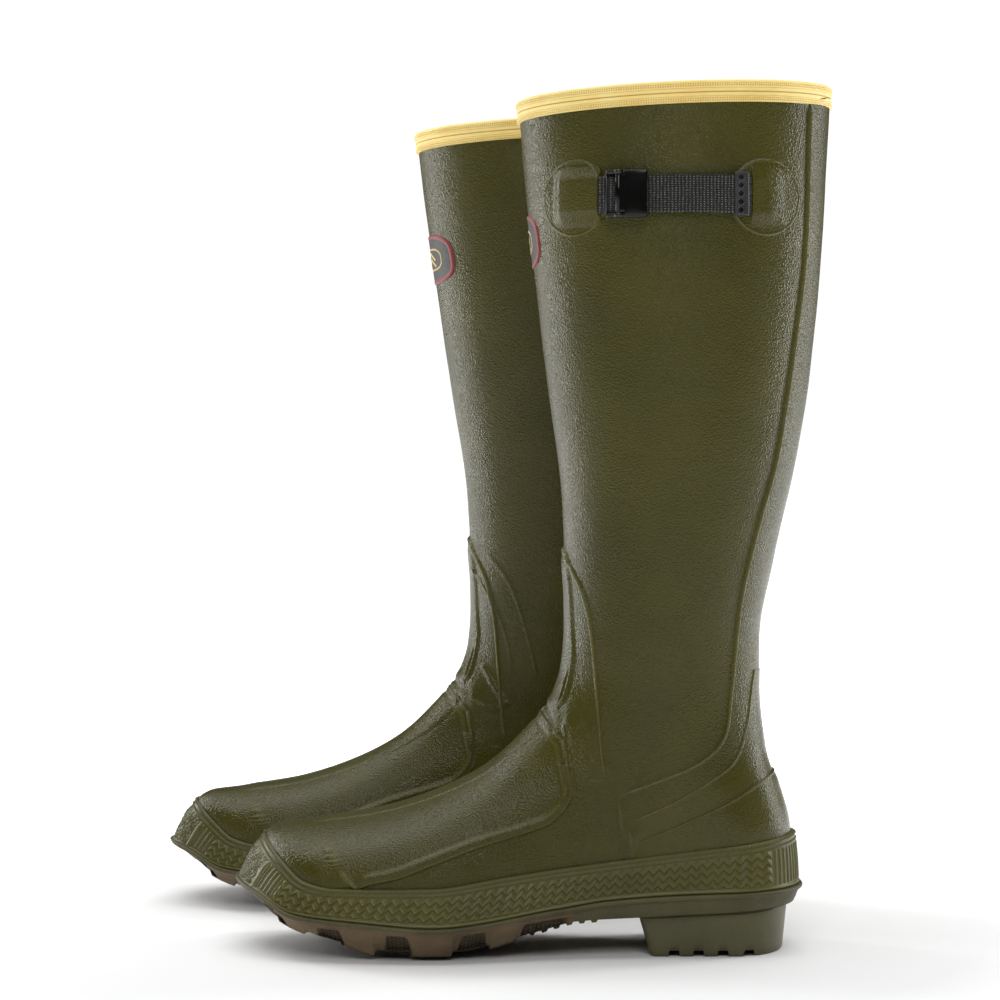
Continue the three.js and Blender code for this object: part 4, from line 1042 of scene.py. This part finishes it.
def make_layer(boot, name, outer, inner, material, slot, rows=120, cols=200):
    """A closed layer inside the upper, from the outsole up to the binding."""
    heights = np.linspace(LOW_ROW, HIGH_ROW - 0.5, rows)
    points, out = upper_grid(turn(cols), heights, boot.lean)

    def wall(offset):
        foot, _ = outline(turn(cols), -offset)
        foot[:, 2] = sole_top(foot[:, 1]) + 0.6
        return np.concatenate([foot[None], points - out * offset])

    folds = 0.5 * waviness(points, 25, 31)[..., None] * out
    inside = wall(inner)
    inside[1:] += folds
    mesh = Mesh().grid(np.concatenate([wall(outer), inside[::-1]]), wrap=True, close=True)
    boot.add(mesh, name, material, slot=slot)


BADGE_MIDDLE, BADGE_HALF = np.array([-7, 375.5]), np.array([29, 15.5])
BADGE_RIM, BADGE_INSET, CHEVRON_AT = 2.4, np.array([0.62, 0.42]), (-1.8, 1.8)


def make_badge(boot):
    """A plain badge on the shin: a rim, a dark field, an oval line and two chevrons."""
    points, out = upper_grid(np.linspace(-0.85, 0.7, 420), np.linspace(354, 396, 260), boot.lean)
    at = points[..., ::2] - BADGE_MIDDLE
    angle = turn(64)
    swell = 0.98 * (1 - 0.06 * np.cos(4 * angle))
    oval = np.stack([np.cos(angle) * swell, np.sin(angle) * swell], -1) * BADGE_HALF
    inside = inside_distance(at, oval)
    lines = np.abs(inside_distance(at, oval * BADGE_INSET)) < 0.5
    for middle in CHEVRON_AT:
        chevron = np.array([(-8, middle - 2), (0, middle + 2), (8, middle - 2)])
        lines |= line_distance(at, chevron) < 0.8
    zone = np.where(lines, 1.0, np.where(inside > BADGE_RIM, 0.5, 0.0))
    relief = -0.5 + 1.2 * ramp(inside, -0.5, 0.9) + 0.2 * bump(inside - 1.2, 0.9) + 0.2 * lines
    mesh = Mesh().grid(points + out * relief[..., None], wear=zone, keep=inside > -0.8)
    boot.add(mesh, "badge", badge_paint, slot="badge")


# ---- Strap and buckle: everything lies on arcs about one upright axis ----
# Heights are over the calf's side curve, and y runs along the foot.
CALF_CENTRE_Y, CALF_DEPTH = 84.4, 80
CALF_HALF = float(leg_half(STRAP_Z))
CALF_RADIUS = CALF_DEPTH ** 2 / CALF_HALF
AXIS_X = CALF_HALF - CALF_RADIUS
WEB, WEB_HALF, WEB_LOW, TAIL_LOW = 1.1, 9.5, 0.9, 3.4
PIN_Y, PIN_HEIGHT, FRONT_BAR_Y, BAR_Y = 50.6, 6.6, 46.8, 52.5
RAIL, RAIL_IN, LEVER_HALF = 2.2, 10.0, 11.6
TAIL_TO, TIP_FROM, TIP_TO, TIP_HALF = 112.3, 109.8, 117.4, 11.3
TIP_HOLE_Y, TIP_HOLE_STEP, TIP_HOLE, TIP_CORNER, TIP_EDGE = 113.0, 4.2, 1.2, 1.5, 0.9
FOLD_Y, TAIL_FROM, WEB_END, LOOP_FROM, LOOP_HEIGHT = 49.3, 55, 119.2, 34, 3.9
RAIL_FROM, RAIL_TO, EAR_RADIUS = 43.6, 64.9, 2.3
FRAME_BARS = ((FRONT_BAR_Y, 2.85, 0.9), (BAR_Y + 0.4, 2.7, 0.6), (44.6, 4.6, 0.9))  # y, height, radius
LEVER_TO, LEVER_ROOT, LEVER_BARREL, LEVER_DOME = 64.8, 9.7, 1.75, 0.35
WEAVE, WEAVE_Y, WEAVE_Z = 0.16, 1.2, 1.5


def on_arc(y, height, boot, level):
    """A point height above the calf's side curve, where y is read off at the height level."""
    radius = CALF_RADIUS + height
    angle = np.arcsin((y - CALF_CENTRE_Y) / (CALF_RADIUS + level))
    return AXIS_X + radius * np.cos(angle), CALF_CENTRE_Y + radius * np.sin(angle) + boot.strap_shift


def band(mesh, boot, y0, y1, low, high, half, middle, rings, round_by=0.35, relief=None, sides=64):
    """A strip along the calf with a rounded rectangular section and rounded ends."""
    thick = (high - low) / 2
    a = turn(sides)
    across = np.sign(np.cos(a)) * np.abs(np.cos(a)) ** 0.18 * half
    depth = np.sign(np.sin(a)) * np.abs(np.sin(a)) ** 0.6 * thick
    run = np.linspace(0, 1, rings)
    y = y0 + (y1 - y0) * run
    end = np.minimum(y - y0, y1 - y)
    shrink = rounding(end + 0.02, round_by)
    rows = []
    for yi, si in zip(y, shrink):
        height = (low + high) / 2 + depth * (0.3 + 0.7 * si)
        z = across - np.sign(across) * round_by * (1 - si) * 0.8
        if relief is not None:
            height = height + relief(yi, z) * (np.sin(a) > 0.3)
        px, py = on_arc(np.full(sides, yi), height, boot, high)
        rows.append(np.stack([px, py, STRAP_Z + middle + z], -1))
    return mesh.tube(np.array(rows), flip=True)


def bar(mesh, boot, y, height, radius, low, high, sides=24):
    """An upright round bar of the buckle, with broken edges."""
    cx, cy = on_arc(np.array([y]), np.array([height]), boot, height)
    a = turn(sides)
    rows = []
    for inset, z in ((0.35, low), (0, low + 0.3), (0, high - 0.3), (0.35, high)):
        r = radius - min(inset, radius * 0.5)
        px, py = cx[0] + r * np.cos(a), cy[0] + r * np.sin(a)
        rows.append(np.stack([px, py, np.full(sides, STRAP_Z + z)], -1))
    return mesh.tube(np.array(rows))


def weave(y, z):
    """The webbing's rows of threads, each row shifted from the last."""
    across = np.cos(2 * np.pi * z / WEAVE_Z + 3 * round(y / WEAVE_Y))
    return WEAVE * math.cos(2 * math.pi * y / WEAVE_Y) * (0.6 + 0.4 * across)


def make_strap(boot):
    def strip(start, end, low, high, rings, mesh=None, relief=weave, round_by=0.35):
        return band(mesh or Mesh(), boot, start, end, low, high, WEB_HALF, 0.0, rings, round_by, relief)

    web_high, tail_high = WEB_LOW + WEB, TAIL_LOW + WEB
    web = strip(BAR_Y - 2, WEB_END, WEB_LOW, web_high, 390)
    strip(FOLD_Y, TAIL_FROM - 0.4, TAIL_LOW, tail_high, 20, web)
    strip(FOLD_Y, FOLD_Y + 1.1, WEB_LOW, tail_high, 8, web, relief=None)
    boot.add(web, "strap_web", webbing, "webbing")
    loop = strip(LOOP_FROM, FRONT_BAR_Y + 2.2, WEB_LOW, WEB_LOW + LOOP_HEIGHT, 90, round_by=1.6)
    boot.add(loop, "web_loop", webbing, "webbing")
    tail = strip(TAIL_FROM, TAIL_TO, TAIL_LOW, tail_high, 400)
    boot.add(tail, "strap_tail", webbing, "webbing", "strap")

    frame_mesh = Mesh()
    for side in (-1, 1):
        middle = side * (RAIL_IN + RAIL / 2)
        band(frame_mesh, boot, RAIL_FROM, RAIL_TO, 0.9, PIN_HEIGHT, RAIL / 2, middle, 40, 1.4, sides=32)
        bar(frame_mesh, boot, PIN_Y, PIN_HEIGHT, EAR_RADIUS, middle - RAIL / 2, middle + RAIL / 2)
    for y, height, radius in FRAME_BARS:
        bar(frame_mesh, boot, y, height, radius, -RAIL_IN - 0.6, RAIL_IN + 0.6)
    boot.add(frame_mesh, "buckle_frame", matte_black, "buckle")

    def dome(y, z):
        return LEVER_DOME * (1 - (z / LEVER_HALF) ** 2) * bump(y - 58, 8.5)

    def plate(start, end, low, high, half, rings, round_by, **more):
        low, high = PIN_HEIGHT + low, PIN_HEIGHT + high
        band(lever, boot, start, end, low, high, half, 0.0, rings, round_by, **more)

    lever = Mesh()
    plate(PIN_Y + 2.8, LEVER_TO, 0.3, 1.7, LEVER_HALF, 90, 0.9, relief=dome, sides=96)
    plate(PIN_Y - 0.3, PIN_Y + 4.5, 0.2, 1.6, LEVER_ROOT, 20, 0.9)
    plate(PIN_Y + 0.4, LEVER_TO - 0.6, -1.2, 0.5, LEVER_ROOT, 40, 0.5)
    bar(lever, boot, PIN_Y, PIN_HEIGHT, LEVER_BARREL, -LEVER_ROOT, LEVER_ROOT)
    boot.add(lever, "buckle_lever", gloss_black, "buckle", "lever")


def make_tip(boot):
    """The moulded end of the strap, with a row of five blind holes."""
    y = np.linspace(TIP_FROM, TIP_TO, 90)[:, None]
    z = np.linspace(-TIP_HALF, TIP_HALF, 230)[None]
    middle, long = (TIP_FROM + TIP_TO) / 2, (TIP_TO - TIP_FROM) / 2
    edge = np.minimum(np.minimum(y - TIP_FROM, TIP_TO - y), TIP_HALF - np.abs(z))
    past_y = np.maximum(np.abs(y - middle) - long + TIP_CORNER, 0)
    past_z = np.maximum(np.abs(z) - TIP_HALF + TIP_CORNER, 0)
    edge = np.minimum(edge, TIP_CORNER - np.hypot(past_y, past_z) + 0.1)
    level = TAIL_LOW + WEB + TIP_EDGE - TIP_EDGE * (1 - rounding(edge, TIP_EDGE))
    for k in range(-2, 3):
        hole = np.hypot(y - TIP_HOLE_Y, z - TIP_HOLE_STEP * k)
        level = level - 2.4 * fall(hole, TIP_HOLE + 0.15, 0.3) + 0.12 * bump(hole - TIP_HOLE - 0.4, 0.5)

    def sheet(level):
        px, py = on_arc(y + 0 * z, level, boot, TAIL_LOW + WEB)
        return np.stack([px, py, STRAP_Z + z + 0 * y], -1)

    def rim(g):
        return np.concatenate([g[0, :-1], g[:-1, -1], g[-1, :0:-1], g[:0:-1, 0]])

    top, low = sheet(level), sheet(0 * level + TAIL_LOW)
    mesh = Mesh().grid(top, flip=True).grid(low).grid(np.stack([rim(top), rim(low)]), wrap=True)
    boot.add(mesh, "strap_tip", tip_grey, "tip", "strap")


PATCH_Z, PATCH_TALL, PATCH_THICK, PATCH_EDGE = 395, 20, 0.9, 0.4
# Pads: the mouth that the webbing goes into, the closed end, height, half height and length of the fade.
FRONT_PAD, REAR_PAD = (42.6, 18, 6.2, 15, 7), (118.4, 141, 2.9, 16, 15)


def make_patch(boot, name, centre_y, half_y, pad):
    """A round rubber patch on the shaft's side with a raised pad over the end of the webbing."""
    radial, around = np.linspace(0, 1.06, 120)[:, None], turn(360)[None]
    y = centre_y + half_y * radial * np.cos(around)
    z = PATCH_Z + PATCH_TALL * radial * np.sin(around)
    edge = (1 - radial) * np.hypot(half_y * np.cos(around), PATCH_TALL * np.sin(around))
    mouth, closed, height, half_z, fade = pad
    toward = np.sign(mouth - closed)
    pillow = fall(np.abs(z - STRAP_Z), half_z + 1.5, 9.5) * smoothstep((y - closed) * toward / fade)
    pillow = pillow * ramp((mouth - y) * toward, -0.3, 0.8)
    level = (PATCH_THICK + PATCH_EDGE) * ramp(edge, -0.8, 1.7) - PATCH_EDGE
    level = level + 0.15 * bump(edge - 1.2, 0.8) + (height - PATCH_THICK) * pillow
    level = level + 0.15 * waviness(np.stack([y, y, z], -1), 14, 5)
    step = 0.2
    x = half_width(y, z, 1)
    slope_y = (half_width(y + step, z, 1) - half_width(y - step, z, 1)) / (2 * step)
    slope_z = (half_width(y, z + step, 1) - half_width(y, z - step, 1)) / (2 * step)
    out = unit(np.stack([np.ones_like(x), -slope_y, -slope_z], -1))
    points = np.stack([x, y + lean_at(z, boot.lean), z], -1) + out * level[..., None]
    # Painted highlight along the patch's edge.
    wear = 0.5 * bump(edge - 0.6, 0.8)
    boot.add(Mesh().grid(points, wrap=True, wear=wear), name, olive, slot="rubber")


# Nodes shown with the solids' own meshes.
KEPT = {
    "footbed": felt, "insole_board": fibre, "filler": cork, "shank": steel, "buckle_pin": matte_black,
}


def make_boot(name, side, lean):
    boot = Boot(name, side, lean)
    make_upper(boot)
    make_overlays(boot)
    make_foxing(boot)
    make_toe_guard(boot)
    make_outsole(boot)
    make_heel(boot)
    make_binding(boot)
    inner = RUBBER + INSULATION
    make_layer(boot, "insulation", RUBBER + 0.3, inner, foam, "insulation")
    make_layer(boot, "lining", inner + 0.5, inner + LINING + 0.6, knit, "lining", 260, 360)
    make_badge(boot)
    make_strap(boot)
    make_tip(boot)
    make_patch(boot, "front_patch", 29, 16.3, FRONT_PAD)
    make_patch(boot, "rear_patch", 126.8, 19.3, REAR_PAD)
    for node, material in KEPT.items():
        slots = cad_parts[f"{name}_{node}"].data.materials
        slots.clear()
        slots.append(material)


make_boot("left", 1, 0.0)
make_boot("right", -1, RIGHT_SHAFT_LEAN)


# ---- Floor, light and camera ----
FLOOR = 30  # half its width, in metres


def make_floor():
    """A pale floor that glows beyond the boots, so that it meets the background without a horizon."""
    n = Nodes("pale_floor")
    distance = n.node("ShaderNodeVectorMath", {0: n.coords}, operation="LENGTH").outputs["Value"]
    across = n.node("ShaderNodeSeparateXYZ", {0: n.coords}).outputs["X"]
    seen = n.node("ShaderNodeLightPath", {}).outputs["Is Camera Ray"]
    side = n.math("MAXIMUM", n.span(across, 1.0, 0.3, 0.25, 0.6), seen)
    glow = n.times(n.span(distance, 0.0, 1.2, 0.28, 0.9), side)
    n.put(n.shader.inputs["Emission Strength"], glow)
    pale = n.mix(n.noise(2.0), (0.88, 0.88, 0.88, 1), (0.9, 0.9, 0.9, 1))
    n.finish(pale, n.span(n.noise(30), 0.85, 0.95), specular=0.1, Emission_Color=(1, 1, 1, 1))
    mesh = bpy.data.meshes.new("floor")
    corners = [(-FLOOR, -FLOOR, 0), (FLOOR, -FLOOR, 0), (FLOOR, FLOOR, 0), (-FLOOR, FLOOR, 0)]
    mesh.from_pydata(corners, [], [(0, 1, 2, 3)])
    mesh.materials.append(n.material)
    floor = bpy.data.objects.new("floor", mesh)
    bpy.context.scene.collection.objects.link(floor)


def add_light(name, place, target, size, power):
    """A rectangular softbox, in metres and watts."""
    data = bpy.data.lights.new(name, "AREA")
    data.shape, data.size, data.size_y, data.energy = "RECTANGLE", size[0], size[1], power
    light = bpy.data.objects.new(name, data)
    light.location = place
    light.rotation_mode = "QUATERNION"
    light.rotation_quaternion = (Vector(target) - Vector(place)).to_track_quat("-Z", "Y")
    bpy.context.scene.collection.objects.link(light)


DIM, BRIGHT = (0.08, 0.08, 0.083, 1), (1.05, 1.05, 1.05, 1)


def make_world():
    """A background that is white to the camera and dim in reflections."""
    world = bpy.data.worlds.new("studio")
    bpy.context.scene.world = world
    world.use_nodes = True
    tree = world.node_tree
    background = tree.nodes["Background"]
    background.inputs["Strength"].default_value = 1.0
    path = tree.nodes.new("ShaderNodeLightPath")
    mix = tree.nodes.new("ShaderNodeMix")
    mix.data_type = "RGBA"
    mix.inputs[MIX_A].default_value = DIM
    mix.inputs[MIX_B].default_value = BRIGHT
    tree.links.new(path.outputs["Is Camera Ray"], mix.inputs[MIX_FACTOR])
    tree.links.new(mix.outputs[MIX_RESULT], background.inputs["Color"])


make_floor()
make_world()
add_light("top", (-0.3, 0.0, 1.9), (0, 0, 0), (2.2, 2.2), 38)
add_light("front_strip", (-0.62, -1.02, 0.5), (0.05, 0.0, 0.25), (0.26, 1.5), 10.5)
add_light("back_strip", (-0.3, 1.15, 0.45), (0.05, 0.05, 0.24), (0.22, 1.5), 9.5)
add_light("fill", (1.9, 0.0, 1.75), (0, 0, 0.2), (1.3, 1.3), 21)

camera = bpy.data.objects.new("camera", bpy.data.cameras.new("camera"))
bpy.context.scene.collection.objects.link(camera)
CAMERA_DISTANCE, CAMERA_AHEAD, CAMERA_HEIGHT = 1430, 10, 271
SENSOR, LENS, SHIFT_Y = 36, 96.3, -0.062
left_low, left_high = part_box("left_heel_block")
camera.location = (
    (left_low.x + left_high.x) / 2 + CAMERA_DISTANCE / 1000,
    left_low.y - (HEEL_FRONT + CAMERA_AHEAD) / 1000,
    CAMERA_HEIGHT / 1000,
)
camera.rotation_euler = (math.radians(90), 0, math.radians(90))
camera.data.sensor_width, camera.data.lens, camera.data.shift_y = SENSOR, LENS, SHIFT_Y
camera.data.clip_start, camera.data.clip_end = 0.05, 60
bpy.context.scene.camera = camera
bpy.context.scene.view_settings.view_transform = "Standard"

bpy.context.view_layer.update()
